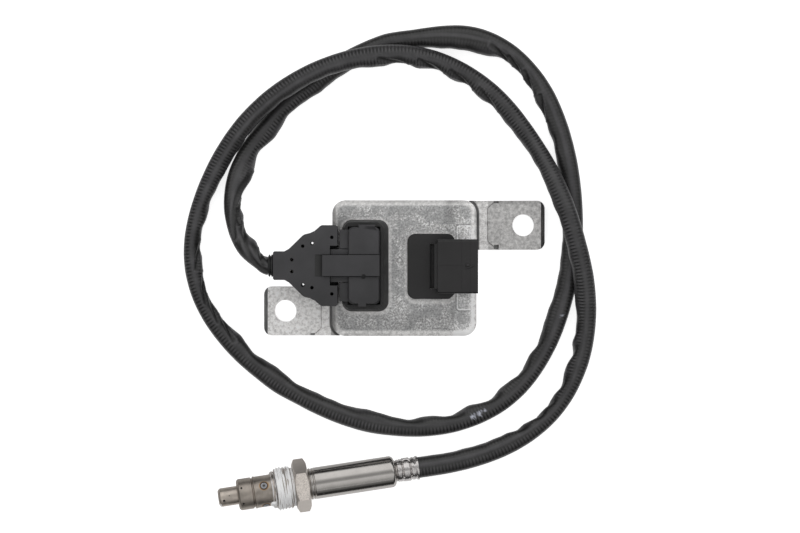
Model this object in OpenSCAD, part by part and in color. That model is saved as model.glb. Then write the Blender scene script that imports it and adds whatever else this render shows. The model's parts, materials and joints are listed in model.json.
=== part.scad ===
// Nitrogen oxide sensor for an exhaust pipe: a cast control unit, a screw-in probe and the cable
// between them. Millimetres. The mounting face of the control unit lies on z = 0, and the origin
// is midway between its two bolt holes.

/* [Housing] */
// Length of the cast box
body_l = 68; // [64:0.5:80]
// Width of the cast box
body_w = 64; // [60:0.5:76]
// Height of the top face over the mounting face
body_h = 17; // [15:0.5:22]
// Radius of the box corners
body_r = 6.2; // [5:0.2:9]
// Thickness of the side walls
wall = 3.2; // [2.8:0.1:3.6]
// Thickness of the top skin
top_t = 2.6; // [2:0.1:3.4]
// Width of the sloped shoulder round the top face
shoulder_w = 3.2; // [2:0.2:4]
// Drop of the shoulder at its outer edge
shoulder_h = 1.6; // [0.8:0.1:2.4]

/* [Ears] */
// Distance between the two ear ends
ear_span = 133.4; // [128:0.2:150]
// Width of an ear
ear_w = 23.3; // [20:0.1:26]
// Thickness of an ear at its bolt pad
ear_t = 6.5; // [5:0.1:8]
// Radius of the ear corners
ear_r = 3.8; // [2:0.1:5]
// Run of the slope at the end of an ear
ear_slope = 1.9; // [1:0.1:3]
// Diameter of a bolt hole
hole_d = 10.4; // [8.4:0.1:11]
// Distance between the bolt holes along the box
hole_dx = 113; // [110:0.5:118]
// Distance between the bolt holes across the box
hole_dy = 40.7; // [38:0.1:43]
// Gap between the box wall and the bolt pad
pad_gap = 5.7; // [4:0.1:7]
// Step down from the bolt pad to the strip beside the wall
pad_step = 0.5; // [0.3:0.1:1]
// Length of the small notches in the sides of an ear
notch_l = 2.2; // [1:0.1:3]

/* [Base plate and board] */
// Thickness of the base plate
plate_t = 1.5; // [1:0.1:2]
// Depth of the plate below the mounting face
plate_inset = 0.3; // [0.2:0.1:0.5]
// Nominal diameter of the plate screws
plate_screw_d = 3; // [2.5:0.5:4]
// Thickness of the circuit board
board_t = 1.6; // [1:0.1:2]
// Height of the board's underside over the mounting face
board_z = 8; // [7:0.1:9]

/* [Sensor plug] */
// Inset of the plug's header from the box end
sens_inset = 4.6; // [4:0.1:6]
// Length of the header's foot
sens_l = 21.9; // [21:0.1:23]
// Width of the header's foot
sens_w = 43.2; // [42:0.1:46]
// Radius of the header's foot corners
sens_r = 4.7; // [3:0.1:6]
// Place of the plug's centre line across the box
plug_y = 1.15; // [0:0.05:2]
// Height of the header's frame over the top face
frame_h = 8; // [7:0.5:10]
// Length of the plug block
block_l = 14.7; // [14:0.1:15.2]
// Width of the plug block
block_w = 36; // [34:0.1:37]
// Height of the plug block over the top face
block_h = 14; // [13:0.1:16]
// Width of the latch strap
strap_w = 9.9; // [8:0.1:11]
// Thickness of the latch strap
strap_t = 1.4; // [1:0.1:2]
// Length of the latch strap
strap_l = 26.8; // [25:0.1:28]

/* [Wire cover] */
// Length of the wire cover
cover_l = 30.1; // [29:0.1:32]
// Width across the wings of the cover
cover_w = 37.8; // [36:0.1:40]
// Width of the cover's neck
neck_w = 13.4; // [13:0.1:15]
// Thickness of the cover
cover_h = 12; // [12:0.1:13]
// Wall of the cover
cover_wall = 1.3; // [1:0.1:1.6]
// Diameter of the small holes in the cover
cover_hole_d = 1.6; // [1:0.1:2]

/* [Vehicle connector] */
// Gap between the plug's header and the connector's foot
header_gap = 8.9; // [8:0.1:12]
// Length of the shroud
shroud_l = 18.8; // [18:0.1:22]
// Width of the shroud
shroud_w = 25.3; // [25:0.1:28]
// Height of the shroud
shroud_h = 14; // [13.5:0.1:16]
// Wall of the shroud
shroud_wall = 1.5; // [1:0.1:1.8]
// Depth of the shroud's socket
socket_l = 14.3; // [12:0.1:15]
// Length of the connector's foot
foot_l = 22.4; // [22:0.1:24]
// Width of the connector's foot
foot_w = 30.7; // [30:0.1:33]
// Thickness of the connector's foot
foot_t = 2; // [1.6:0.1:3]
// Place of the connector's centre line across the box
veh_y = 0.8; // [0:0.05:2]
// Pitch of the vehicle terminals
veh_pitch = 5; // [4:0.1:5.4]

/* [Probe] */
// Diameter of the inner protection tube at the tip
tip_d = 8.2; // [7:0.1:9]
// Length of the tip that stands out of the outer tube
tip_l = 9.2; // [7:0.1:12]
// Diameter of the outer protection tube
outer_d = 14.3; // [13.6:0.1:15]
// Length of the outer protection tube
outer_l = 16; // [14:0.1:20]
// Wall of the two protection tubes
tube_wall = 0.5; // [0.4:0.1:0.7]
// Diameter of the gas holes
gas_hole_d = 1; // [0.6:0.1:1.5]
// Diameter of the seat collar
collar_d = 17.4; // [16:0.1:18]
// Thickness of the seat collar
collar_t = 1.8; // [1.2:0.1:3]
// Diameter of the shell's stem inside the union screw
stem_d = 14.4; // [13.8:0.1:15]
// Nominal diameter of the screw thread
thread_d = 20; // [18:0.5:22]
// Length of the screw thread
thread_l = 7.7; // [6:0.1:10]
// Length of the relief groove behind the thread
relief_l = 1.3; // [1:0.1:2]
// Width across the flats of the hexagon
hex_af = 22; // [22:0.5:24]
// Thickness of the hexagon
hex_t = 6.7; // [5:0.1:9]
// Running clearance of the screw on the stem, on the radius
run_clear = 0.08; // [0.05:0.01:0.1]
// Diameter of the main sleeve
sleeve_d = 14.2; // [13.8:0.1:15]
// Length of the main sleeve's straight part
sleeve_l = 37.1; // [34:0.1:44]
// Wall of the main sleeve
sleeve_wall = 0.7; // [0.5:0.1:0.9]
// Length of the beaded ring at the front of the sleeve
ring_l = 2.8; // [2:0.1:4]
// Length of the sleeve's rounded shoulder
round_l = 2.4; // [1.5:0.1:3]
// Length of the crimped ferrule
ferrule_l = 9.4; // [8:0.1:12]
// Diameter of the ferrule's plain part
ferrule_d = 10.4; // [9.8:0.1:11.4]

/* [Cable] */
// Diameter of the sleeved cable
cable_d = 9; // [8:0.1:10]

/* [Hidden] */
$fn = 48;

// Small distances that seat one piece in the next
slip = 0.1;
eps = 0.01;

// Places along the control unit
box_x = body_l / 2;
box_y = body_w / 2;
pad_x = box_x + pad_gap;
ceil_z = body_h - top_t;
ledge_z = plate_inset + plate_t;
post_r = plate_screw_d + 0.4;
post_x = box_x - wall - 2.2;
post_y = box_y - wall - 2.2;
board_top = board_z + board_t;
board_gap = 0.6;
bead_w = wall / 4;
bead_h = 0.5;
bead_inset = wall / 2 + (wall / 2 - bead_w) / 2;

// Places of the sensor header and its plug
sens_x0 = -box_x + sens_inset;
pocket_x0 = sens_x0 + 2.9;
pocket_l = block_l + 0.4;
pocket_w = block_w + 0.4;
block_x0 = pocket_x0 + 0.2;
block_x1 = block_x0 + block_l;
block_z1 = body_h + block_h;
frame_z1 = body_h + frame_h;
sens_floor = body_h + 2;
sens_cx = pocket_x0 + pocket_l / 2;
sens_win_l = 11;
sens_win_w = 26;
pin_w = 0.64;
pin_rows = [-2.5, 2.5];
pin_cols = [-8.1, -2.7, 2.7, 8.1];
contact_w = 2;
cavity_top = block_z1 - 3;
neck_x0 = block_x0 - 8.3;
neck_z0 = frame_z1 + 0.2;
strap_x0 = block_x1 - strap_l;
cable_z = body_h + 7.6;

// Places of the wire cover
cover_x1 = sens_x0 - 1.9;
cover_x0 = cover_x1 - cover_l;
cover_z0 = cable_z - cover_h / 2;
cover_z1 = cable_z + cover_h / 2;
collar_x0 = cover_x0 - 2.4;
seat_back = 3.5;
seat_y = 9.3;
wing_y = cover_w / 2;
neck_y = neck_w / 2;

// Places of the vehicle connector
foot_x0 = sens_x0 + sens_l + header_gap;
shroud_x0 = foot_x0 + 14.1;
mouth_x = shroud_x0 + shroud_l;
shroud_z0 = body_h + foot_t;
leg_x = shroud_x0 + 2;
blade_z = shroud_z0 + shroud_h / 2;
veh_win_x0 = foot_x0 + 4;
veh_win_x1 = shroud_x0 + 4.5;
veh_win_w = 21;
slot_l = 1.9;
bar_l = 1.6;
bar_w = 21.1;

// Stations along the probe, from its tip
outer_u0 = tip_l;
collar_u0 = outer_u0 + outer_l;
collar_u1 = collar_u0 + collar_t;
screw_u0 = collar_u1 + 0.3;
relief_u0 = screw_u0 + thread_l;
hex_u0 = relief_u0 + relief_l;
hex_u1 = hex_u0 + hex_t;
ring_u0 = hex_u1 + 0.3;
sleeve_u0 = ring_u0 + ring_l;
sleeve_u1 = sleeve_u0 + sleeve_l;
ferrule_u0 = sleeve_u1 + round_l;
probe_l = ferrule_u0 + ferrule_l;
spigot_r = sleeve_d / 2 - 0.25 - sleeve_wall - 0.05;
bore_r = spigot_r - 1.1;
neck_r = ferrule_d / 2 - 0.75;
insul_u0 = collar_u0 - 1.2;
talc_u0 = insul_u0 + 6;
talc_u1 = talc_u0 + 6;
insul_u1 = ring_u0 + 5;
block_u0 = insul_u1 + 4;
block_u1 = block_u0 + 14;
grommet_u0 = block_u1 + 8;
element_w = 4;
element_t = 1.2;
element_u0 = outer_u0 + 1.5;
element_u1 = block_u0 + 9;

// The probe lies on the lower flat of its hexagon and on the rear rim of its sleeve
probe_tilt = asin((hex_af - sleeve_d) / 2 / (sleeve_u1 - hex_u1));
probe_yaw = 8.27;
probe_end = [6.4, -94.8];
probe_end_z = hex_af / 2 * cos(probe_tilt) - (probe_l - hex_u1) * sin(probe_tilt);

// Centre line of the free cable, from the cover's collar to the ferrule
route = [
    [collar_x0, plug_y, cable_z], [-67.5, 2.8, 24.4], [-71.5, 6.5, 22.6], [-76, 12.5, 18.8], [-79.5, 20, 14.4],
    [-81.5, 30, 9.6], [-80.5, 42, 6], [-75, 54.5, 4.6], [-64.5, 68, 4.6], [-49.5, 83.5, 4.6],
    [-29, 97.5, 4.6], [-7.5, 107, 4.6], [15, 111, 4.6], [37.5, 108.5, 4.6], [55, 98.5, 4.6],
    [67.5, 80.5, 4.6], [75.5, 58.5, 4.6], [79.5, 32.5, 4.6], [79, 6.5, 4.6], [73.5, -19, 4.6],
    [63.5, -43, 4.6], [48.5, -61, 4.6], [29, -71.5, 4.6], [6, -75.5, 4.6], [-19, -72.5, 4.6],
    [-43.5, -63.5, 4.6], [-66, -49.5, 4.6], [-85, -32, 4.6], [-97.5, -12, 4.6], [-101, 9, 4.6],
    [-97, 30, 4.6], [-88, 50.5, 6.4], [-74, 70, 10.6], [-56.5, 85, 14], [-37, 95.5, 14.6],
    [-15.5, 100.5, 14.2], [5.5, 100, 11], [26, 93.5, 6], [44.5, 80.5, 4.6], [59.5, 61.5, 5.4],
    [68.5, 46, 10], [75.5, 29.5, 14.4], [80.5, 13.5, 14.4], [84.5, -3, 11.2], [86, -24, 6],
    [82, -46.5, 4.6], [71, -67.5, 4.6], [56.5, -79.5, 4.6], [37, -88.5, 4.6], [20, -92.8, 4.8],
    [probe_end[0], probe_end[1], probe_end_z]];
cable_sides = 10;
start_dir = [-1, 0, 0];
end_dir = -[cos(probe_tilt) * cos(probe_yaw), cos(probe_tilt) * sin(probe_yaw), -sin(probe_tilt)];

// Flat and round helpers
module rounded(x0, x1, y0, y1, r) {
    translate([x0 + r, y0])
        square([x1 - x0 - 2 * r, y1 - y0]);
    translate([x0, y0 + r])
        square([x1 - x0, y1 - y0 - 2 * r]);
    for (x = [x0 + r, x1 - r], y = [y0 + r, y1 - r])
        translate([x, y])
            circle(r);
}

module slab(z0, z1) {
    translate([0, 0, z0])
        linear_extrude(z1 - z0)
            children();
}

module box_outline(inset) {
    rounded(-box_x + inset, box_x - inset, -box_y + inset, box_y - inset, max(body_r - inset, 0.8));
}

module block(x0, x1, y0, y1, z0, z1) {
    translate([x0, y0, z0])
        cube([x1 - x0, y1 - y0, z1 - z0]);
}

// A straight round rod between two points
module rod(p, q, r) {
    d = q - p;
    translate(p)
        rotate([0, acos(d[2] / norm(d)), atan2(d[1], d[0])])
            cylinder(r = r, h = norm(d), $fn = 16);
}

// Housing
module ear_outline() {
    end_x = ear_span / 2;
    intersection() {
        rounded(0, end_x, box_y - ear_w, box_y, ear_r);
        translate([box_x - wall, 0])
            square([end_x, box_y]);
    }
}

module bolt_hole() {
    translate([hole_dx / 2, hole_dy / 2, -1])
        cylinder(d = hole_d, h = ear_t + 2);
}

module ear() {
    end_x = ear_span / 2;
    ear_y0 = box_y - ear_w;
    difference() {
        slab(0, ear_t)
            ear_outline();
        // The strip beside the wall lies a step below the bolt pad, and runs out to a notch at each side
        translate([0, 0, ear_t - pad_step])
            linear_extrude(pad_step + 1)
                polygon([[0, ear_y0 - 1], [pad_x + 3, ear_y0 - 1], [pad_x + 3, ear_y0 + 1.4], [pad_x, ear_y0 + 4],
                    [pad_x, box_y - 3.4], [pad_x + 3, box_y - 1], [pad_x + 3, box_y + 1], [0, box_y + 1]]);
        block(pad_x + 3, pad_x + 3 + notch_l, ear_y0 - 1, ear_y0 + 2.4, ear_t - 3, ear_t + 1);
        block(pad_x + 3, pad_x + 3 + notch_l, box_y - 1.2, box_y + 1, ear_t - 3, ear_t + 1);
        // The end of the ear slopes down from the pad
        translate([end_x - ear_slope, ear_y0 - 1, ear_t])
            rotate([-90, 0, 0])
                linear_extrude(ear_w + 2)
                    polygon([[0, -1], [ear_slope + 1, -1], [ear_slope + 1, ear_slope], [ear_slope, ear_slope],
                        [0.3 * ear_slope, 0.5 * ear_slope], [0, 0.25 * ear_slope]]);
        bolt_hole();
    }
}

module ear_fillet() {
    foot = 1.5;
    strip_z = ear_t - pad_step;
    intersection() {
        hull($fn = 32) {
            slab(strip_z, strip_z + eps)
                box_outline(-foot);
            slab(strip_z + foot, strip_z + foot + eps)
                box_outline(0);
        }
        slab(0, body_h)
            ear_outline();
    }
}

module screw_posts(r, z0, z1) {
    for (x = [-post_x, post_x], y = [-post_y, post_y])
        translate([x, y, z0])
            cylinder(r = r, h = z1 - z0);
}

module board_bosses(r, z0, z1) {
    for (p = [[0, post_y - 1.5], [0, 1.5 - post_y], [post_x, 0]])
        translate([p[0], p[1], z0])
            cylinder(r = r, h = z1 - z0);
}

module housing() {
    rim_z = body_h - shoulder_h;
    color([0.74, 0.74, 0.73])
    difference() {
        union() {
            difference() {
                union() {
                    slab(0, rim_z)
                        box_outline(0);
                    hull($fn = 32) {
                        slab(rim_z - eps, rim_z)
                            box_outline(0);
                        slab(body_h - eps, body_h)
                            box_outline(shoulder_w);
                    }
                    for (turn = [0, 180])
                        rotate(turn) {
                            ear();
                            ear_fillet();
                        }
                }
                // Hollow, and ledge for the plate
                slab(-1, ceil_z)
                    box_outline(wall);
                slab(-1, ledge_z)
                    box_outline(wall / 2);
            }
            intersection() {
                screw_posts(post_r, ledge_z, ceil_z + eps);
                slab(0, body_h)
                    box_outline(wall / 2);
            }
            board_bosses(2.6, board_top, ceil_z + eps);
        }
        // Groove for the sealing bead
        slab(ledge_z - eps, ledge_z + bead_h)
            difference() {
                box_outline(bead_inset);
                box_outline(bead_inset + bead_w);
            }
        screw_posts(plate_screw_d / 2 - 0.05, -1, ceil_z - 1);
        board_bosses(1.2, board_top - 1, ceil_z - 0.6);
        // Windows for the two connectors
        block(sens_cx - sens_win_l / 2, sens_cx + sens_win_l / 2, plug_y - sens_win_w / 2,
            plug_y + sens_win_w / 2, ceil_z - 1, body_h + 1);
        block(veh_win_x0, veh_win_x1, veh_y - veh_win_w / 2, veh_y + veh_win_w / 2, ceil_z - 1, body_h + 1);
    }
}

// Base plate, its bead and screws
module base_plate() {
    head_r = plate_screw_d;
    color([0.66, 0.67, 0.68])
    difference() {
        slab(plate_inset, ledge_z)
            box_outline(wall / 2 + slip);
        for (x = [-post_x, post_x], y = [-post_y, post_y])
            translate([x, y, plate_inset - eps])
                cylinder(r1 = head_r, r2 = plate_screw_d / 2 + 0.2, h = plate_t + 2 * eps);
    }
}

module base_seal() {
    gap = bead_inset + 0.02;
    color([0.25, 0.25, 0.27])
    slab(ledge_z, ledge_z + bead_h - 0.02)
        difference() {
            box_outline(gap);
            box_outline(gap + bead_w - 0.04);
        }
}

module base_screws() {
    color([0.62, 0.63, 0.65])
    for (x = [-post_x, post_x], y = [-post_y, post_y])
        translate([x, y, 0])
            difference() {
                union() {
                    translate([0, 0, plate_inset])
                        cylinder(r1 = plate_screw_d - 0.15, r2 = plate_screw_d / 2 - 0.1, h = plate_t);
                    translate([0, 0, plate_inset])
                        cylinder(r = plate_screw_d / 2 - 0.1, h = plate_t + 7);
                }
                translate([0, 0, plate_inset - 1])
                    cylinder(r = plate_screw_d / 3, h = 1.8, $fn = 6);
            }
}

// Circuit board and what stands on it
module circuit_board() {
    color([0.1, 0.36, 0.2])
    difference() {
        slab(board_z, board_top)
            difference() {
                box_outline(wall + board_gap);
                for (x = [-post_x, post_x], y = [-post_y, post_y])
                    translate([x, y])
                        circle(post_r + board_gap);
            }
        board_bosses(1.35, board_z - 1, board_top + 1);
        terminal_places()
            translate([0, 0, board_z - 1])
                cylinder(r = 0.7, h = board_t + 2, $fn = 24);
    }
}

module terminal_places() {
    for (x = pin_rows, y = pin_cols)
        translate([sens_cx + x, plug_y + y, 0])
            children();
    for (i = [-1.5:1.5])
        translate([leg_x, veh_y + i * veh_pitch, 0])
            children();
}

module chip(x, y, l, w, h) {
    translate([x - l / 2, y - w / 2, board_z - h])
        cube([l, w, h]);
}

module board_parts() {
    color([0.14, 0.14, 0.15]) {
        chip(-2, -8, 12, 12, 1.4);
        chip(-2, 11, 10, 7, 1.6);
        chip(box_x - 10, 12, 7, 6, 2.2);
        chip(box_x - 10, -12, 7, 6, 2.2);
        for (y = [-16:4:16])
            chip(8, y, 3, 1.6, 0.8);
        for (y = [-20, -13])
            translate([-12, y, board_z - 4])
                cylinder(d = 5, h = 4);
    }
}

module board_screws() {
    color([0.62, 0.63, 0.65]) {
        board_bosses(1.1, board_z, ceil_z - 1.8);
        board_bosses(2.1, board_z - 1.4, board_z);
    }
}

// Header for the sensor plug
module sensor_header() {
    color([0.13, 0.13, 0.14])
    difference() {
        union() {
            hull($fn = 32) {
                slab(body_h, body_h + 1)
                    rounded(sens_x0, sens_x0 + sens_l, plug_y - sens_w / 2, plug_y + sens_w / 2, sens_r);
                slab(frame_z1 - eps, frame_z1)
                    rounded(sens_x0 + 1, pocket_x0 + pocket_l + 1.4, plug_y - sens_w / 2 + 1.2,
                        plug_y + sens_w / 2 - 1.2, sens_r - 1);
            }
            block(sens_cx - sens_win_l / 2 + slip, sens_cx + sens_win_l / 2 - slip,
                plug_y - sens_win_w / 2 + slip, plug_y + sens_win_w / 2 - slip, ceil_z - 0.5, body_h + eps);
        }
        block(pocket_x0, pocket_x0 + pocket_l, plug_y - pocket_w / 2, plug_y + pocket_w / 2,
            sens_floor, frame_z1 + 1);
        for (x = pin_rows, y = pin_cols)
            block(sens_cx + x - pin_w / 2 - 0.05, sens_cx + x + pin_w / 2 + 0.05, plug_y + y - pin_w / 2 - 0.05,
                plug_y + y + pin_w / 2 + 0.05, ceil_z - 2, frame_z1);
        sensor_seal_ring(0);
    }
}

module sensor_seal_ring(play) {
    out = 1.6;
    slab(body_h - eps, body_h + 0.6 - play)
        difference() {
            rounded(sens_cx - sens_win_l / 2 - out - 1 + play, sens_cx + sens_win_l / 2 + out + 1 - play,
                plug_y - sens_win_w / 2 - out - 1 + play, plug_y + sens_win_w / 2 + out + 1 - play, 2);
            rounded(sens_cx - sens_win_l / 2 - out - play, sens_cx + sens_win_l / 2 + out + play,
                plug_y - sens_win_w / 2 - out - play, plug_y + sens_win_w / 2 + out + play, 1);
        }
}

module sensor_header_seal() {
    color([0.45, 0.2, 0.14])
    translate([0, 0, eps])
        sensor_seal_ring(0.03);
}

module sensor_terminals() {
    color([0.8, 0.7, 0.4])
    for (x = pin_rows, y = pin_cols)
        block(sens_cx + x - pin_w / 2, sens_cx + x + pin_w / 2, plug_y + y - pin_w / 2, plug_y + y + pin_w / 2,
            board_z - 0.8, sens_floor + 6);
}

// Header for the vehicle's own plug
module foot_outline() {
    foot_x1 = foot_x0 + foot_l;
    clip = 3.6;
    difference() {
        rounded(foot_x0, foot_x1, veh_y - foot_w / 2, veh_y + foot_w / 2, 3.7);
        polygon([[foot_x1 - clip, veh_y - foot_w / 2 - 1], [foot_x1 + 1, veh_y - foot_w / 2 - 1],
            [foot_x1 + 1, veh_y - foot_w / 2 + clip]]);
    }
}

module vehicle_header() {
    shroud_y0 = veh_y - shroud_w / 2;
    shroud_y1 = veh_y + shroud_w / 2;
    color([0.08, 0.08, 0.09])
    difference() {
        union() {
            slab(body_h, shroud_z0)
                foot_outline();
            block(veh_win_x0 + slip, veh_win_x1 - slip, veh_y - veh_win_w / 2 + slip,
                veh_y + veh_win_w / 2 - slip, ceil_z - 0.5, body_h + eps);
            translate([shroud_x0, veh_y, shroud_z0 + shroud_h / 2])
                rotate([90, 0, 90])
                    linear_extrude(shroud_l)
                        rounded(-shroud_w / 2, shroud_w / 2, -shroud_h / 2, shroud_h / 2, 1.2);
            // Upright bar behind the shroud
            block(shroud_x0 - bar_l, shroud_x0 + eps, veh_y - bar_w / 2, veh_y + bar_w / 2, shroud_z0 - eps,
                shroud_z0 + shroud_h - 1.5);
            // Catch for the latch of the vehicle's plug
            slab(shroud_z0 + shroud_h - eps, shroud_z0 + shroud_h + 0.6)
                polygon([[mouth_x - 5.7, veh_y - 1.2], [mouth_x - 1.9, veh_y + 0.1], [mouth_x - 5.7, veh_y + 1.4]]);
            // Two keys along the underside of the shroud
            for (y = [shroud_y0 + 4, shroud_y1 - 4])
                block(shroud_x0 + 8.6, mouth_x - 1, y - 0.6, y + 0.6, shroud_z0 - 0.7, shroud_z0 + eps);
        }
        block(mouth_x - socket_l, mouth_x + 1, shroud_y0 + shroud_wall, shroud_y1 - shroud_wall,
            shroud_z0 + shroud_wall, shroud_z0 + shroud_h - shroud_wall);
        // Deep slot in front of the bar
        block(shroud_x0 - bar_l - slot_l, shroud_x0 - bar_l, veh_y - bar_w / 2, veh_y + bar_w / 2,
            body_h - 1, shroud_z0 + 1);
        for (i = [-1.5:1.5])
            terminal_shape(veh_y + i * veh_pitch, 0.05);
        vehicle_seal_ring(0);
    }
}

module terminal_shape(y, play) {
    half_w = 1.4 + play;
    half_t = 0.4 + play;
    block(leg_x - half_t, mouth_x - 4, y - half_w, y + half_w, blade_z - half_t, blade_z + half_t);
    block(leg_x - half_t, leg_x + half_t, y - half_t, y + half_t, board_z - 0.8, blade_z + half_t);
}

module vehicle_terminals() {
    color([0.78, 0.78, 0.76])
    for (i = [-1.5:1.5])
        terminal_shape(veh_y + i * veh_pitch, 0);
}

module vehicle_seal_ring(play) {
    slab(body_h - eps, body_h + 0.6 - play)
        difference() {
            rounded(veh_win_x0 - 2 + play, veh_win_x1 + 2 - play, veh_y - veh_win_w / 2 - 2 + play,
                veh_y + veh_win_w / 2 + 2 - play, 2);
            rounded(veh_win_x0 - 1 - play, veh_win_x1 + 1 + play, veh_y - veh_win_w / 2 - 1 - play,
                veh_y + veh_win_w / 2 + 1 + play, 1);
        }
}

module vehicle_header_seal() {
    color([0.45, 0.2, 0.14])
    translate([0, 0, eps])
        vehicle_seal_ring(0.03);
}

// Plug that sits in the sensor header
module plug_body() {
    tab = 1.1;
    rib_y = [strap_w / 2 + 0.3, strap_w / 2 + 2.7];
    step_y = [8, 16.8];
    tongue_y = 3;
    color([0.2, 0.2, 0.21])
    difference() {
        union() {
            block(block_x0, block_x1, plug_y - block_w / 2, plug_y + block_w / 2, sens_floor + 0.2,
                block_z1 - 0.6);
            hull() {
                block(block_x0, block_x1, plug_y - block_w / 2, plug_y + block_w / 2, block_z1 - 0.61,
                    block_z1 - 0.6);
                block(block_x0 + 0.5, block_x1 - 0.5, plug_y - block_w / 2 + 0.5, plug_y + block_w / 2 - 0.5,
                    block_z1 - eps, block_z1);
            }
            block(block_x0 + 4.9, block_x0 + 12.6, plug_y, plug_y + block_w / 2 + tab, block_z1 - 1.2, block_z1);
            block(block_x0 + 4.7, block_x0 + 8.4, plug_y - block_w / 2 - tab, plug_y, block_z1 - 1.2, block_z1);
            for (s = [-1, 1]) {
                block(block_x0 - 4, block_x0 + eps, min(s * step_y[0], s * step_y[1]) + plug_y,
                    max(s * step_y[0], s * step_y[1]) + plug_y, neck_z0, block_z1 - 2.4);
                block(neck_x0, block_x0 + eps, min(s * rib_y[0], s * rib_y[1]) + plug_y,
                    max(s * rib_y[0], s * rib_y[1]) + plug_y, neck_z0, block_z1 - 1.9);
            }
            block(neck_x0, block_x0 + eps, plug_y - rib_y[0] - eps, plug_y + rib_y[0] + eps, neck_z0,
                block_z1 - 3);
        }
        // Cavities for the contacts, joined to the wire exit
        for (x = pin_rows, y = pin_cols)
            block(sens_cx + x - contact_w / 2 - slip, sens_cx + x + contact_w / 2 + slip,
                plug_y + y - contact_w / 2 - slip, plug_y + y + contact_w / 2 + slip, sens_floor, cavity_top);
        block(neck_x0 - 1, sens_cx + pin_rows[1], plug_y - rib_y[0] + 1, plug_y + rib_y[0] - 1, neck_z0 + 0.8,
            cavity_top - 0.8);
        block(sens_cx + pin_rows[0], sens_cx + pin_rows[1], plug_y + pin_cols[0], plug_y + pin_cols[3],
            neck_z0 + 1, cavity_top - 0.8);
        // Slot for the tongue of the latch strap
        block(block_x1 - 2.4, block_x1 - 1.1, plug_y - tongue_y - slip, plug_y + tongue_y + slip, block_z1 - 4,
            block_z1 + 1);
    }
}

module plug_contacts() {
    color([0.82, 0.8, 0.72])
    for (x = pin_rows, y = pin_cols)
        translate([sens_cx + x, plug_y + y, sens_floor + 0.4])
            difference() {
                translate([-contact_w / 2, -contact_w / 2, 0])
                    cube([contact_w, contact_w, 6.4]);
                translate([-pin_w / 2 - 0.05, -pin_w / 2 - 0.05, -1])
                    cube([pin_w + 0.1, pin_w + 0.1, 7]);
            }
}

module plug_lock() {
    color([0.22, 0.22, 0.23]) {
        slab(block_z1, block_z1 + strap_t)
            difference() {
                translate([strap_x0, plug_y - strap_w / 2])
                    square([strap_l, strap_w]);
                translate([block_x0 + 7.3, plug_y - strap_w / 2])
                    circle(0.9);
            }
        block(block_x1 - 2.3, block_x1 - 1.2, plug_y - 3, plug_y + 3, block_z1 - 3.8, block_z1 + eps);
    }
}

// Wire cover: outline of one half, from the neck to the wing
half_outline = [[0, neck_y - 0.6], [0.6, neck_y], [5.4, neck_y], [7.5, neck_y + 1.2], [14, wing_y - 4.7],
    [15, wing_y - 4.2], [17.3, wing_y - 3.7], [19.4, wing_y - 2.7], [22.2, wing_y - 0.3], [22.9, wing_y],
    [cover_l - 0.7, wing_y], [cover_l, wing_y - 0.7], [cover_l, seat_y], [cover_l - seat_back, seat_y]];

module cover_outline() {
    last = len(half_outline) - 1;
    translate([cover_x0, plug_y])
        polygon(concat(half_outline, [for (i = [last:-1:0]) [half_outline[i][0], -half_outline[i][1]]]));
}

// Places of the small holes, from the cover's neck end and its centre line
pin_holes = [[27.5, 13.2], [18.2, 10.3], [13.9, 9.1], [8.8, 2.75]];
// Two of them go on through the base
base_holes = [[18.2, 10.3], [13.9, -9.1]];

module cover_hole(p) {
    translate([cover_x0 + p[0], plug_y + p[1], cover_z0 - 1])
        cylinder(d = cover_hole_d, h = cover_h + 2, $fn = 24);
}

module cover_hollow() {
    slab(cover_z0 + cover_wall, cover_z1 - cover_wall)
        offset(delta = -cover_wall)
            cover_outline();
    // Way out for the wires into the collar, and way in from the plug
    translate([cover_x0 - 1, plug_y, cable_z])
        rotate([0, 90, 0])
            cylinder(r = neck_y - cover_wall - 1.2, h = 4);
    block(cover_x0 + cover_l - seat_back - 2 * cover_wall, cover_x0 + cover_l, plug_y - 8, plug_y + 8, neck_z0 - 0.2,
        cover_z1 - cover_wall);
}

module finger_ramp() {
    ramp_l = 3.5;
    translate([strap_x0, plug_y + strap_w / 2 + 0.2, cover_z1])
        rotate([90, 0, 0])
            linear_extrude(strap_w + 0.4)
                polygon([[-ramp_l, 0.01], [0, -cover_wall + 0.3], [4.2, -cover_wall + 0.3], [4.2, 3], [-ramp_l, 3]]);
}

module wire_cover_top() {
    color([0.19, 0.19, 0.2])
    difference() {
        slab(cable_z, cover_z1)
            cover_outline();
        cover_hollow();
        for (p = pin_holes, s = [-1, 1])
            cover_hole([p[0], s * p[1]]);
        finger_ramp();
    }
}

module wire_cover_base() {
    color([0.19, 0.19, 0.2])
    difference() {
        union() {
            slab(cover_z0, cable_z)
                cover_outline();
            // Tongue that closes the seat of the plug's neck from below
            block(cover_x1 - seat_back - 1, cover_x1, plug_y - seat_y - eps, plug_y + seat_y + eps, cover_z0,
                cover_z0 + cover_wall);
        }
        cover_hollow();
        for (p = base_holes)
            cover_hole(p);
    }
}

module lead_wires() {
    wire_r = 0.45;
    from_x = cover_x0 + 1.8;
    bend_x = cover_x0 + 9;
    color([0.85, 0.85, 0.8])
    for (i = [0:7]) {
        y = (i - 3.5) * 1.05;
        z = cable_z + (i % 2 == 0 ? -1.6 : 1.6);
        flat_z = neck_z0 + 1.4;
        rod([from_x, plug_y + y * 0.45 , cable_z + (z - cable_z) * 0.8], [bend_x, plug_y + y, z], wire_r);
        rod([bend_x + 0.3, plug_y + y, z], [neck_x0 - 0.6, plug_y + y, flat_z], wire_r);
        rod([neck_x0 - 0.3, plug_y + y, flat_z], [sens_cx + pin_rows[0] - 1.6, plug_y + y, flat_z], wire_r);
    }
}

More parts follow.
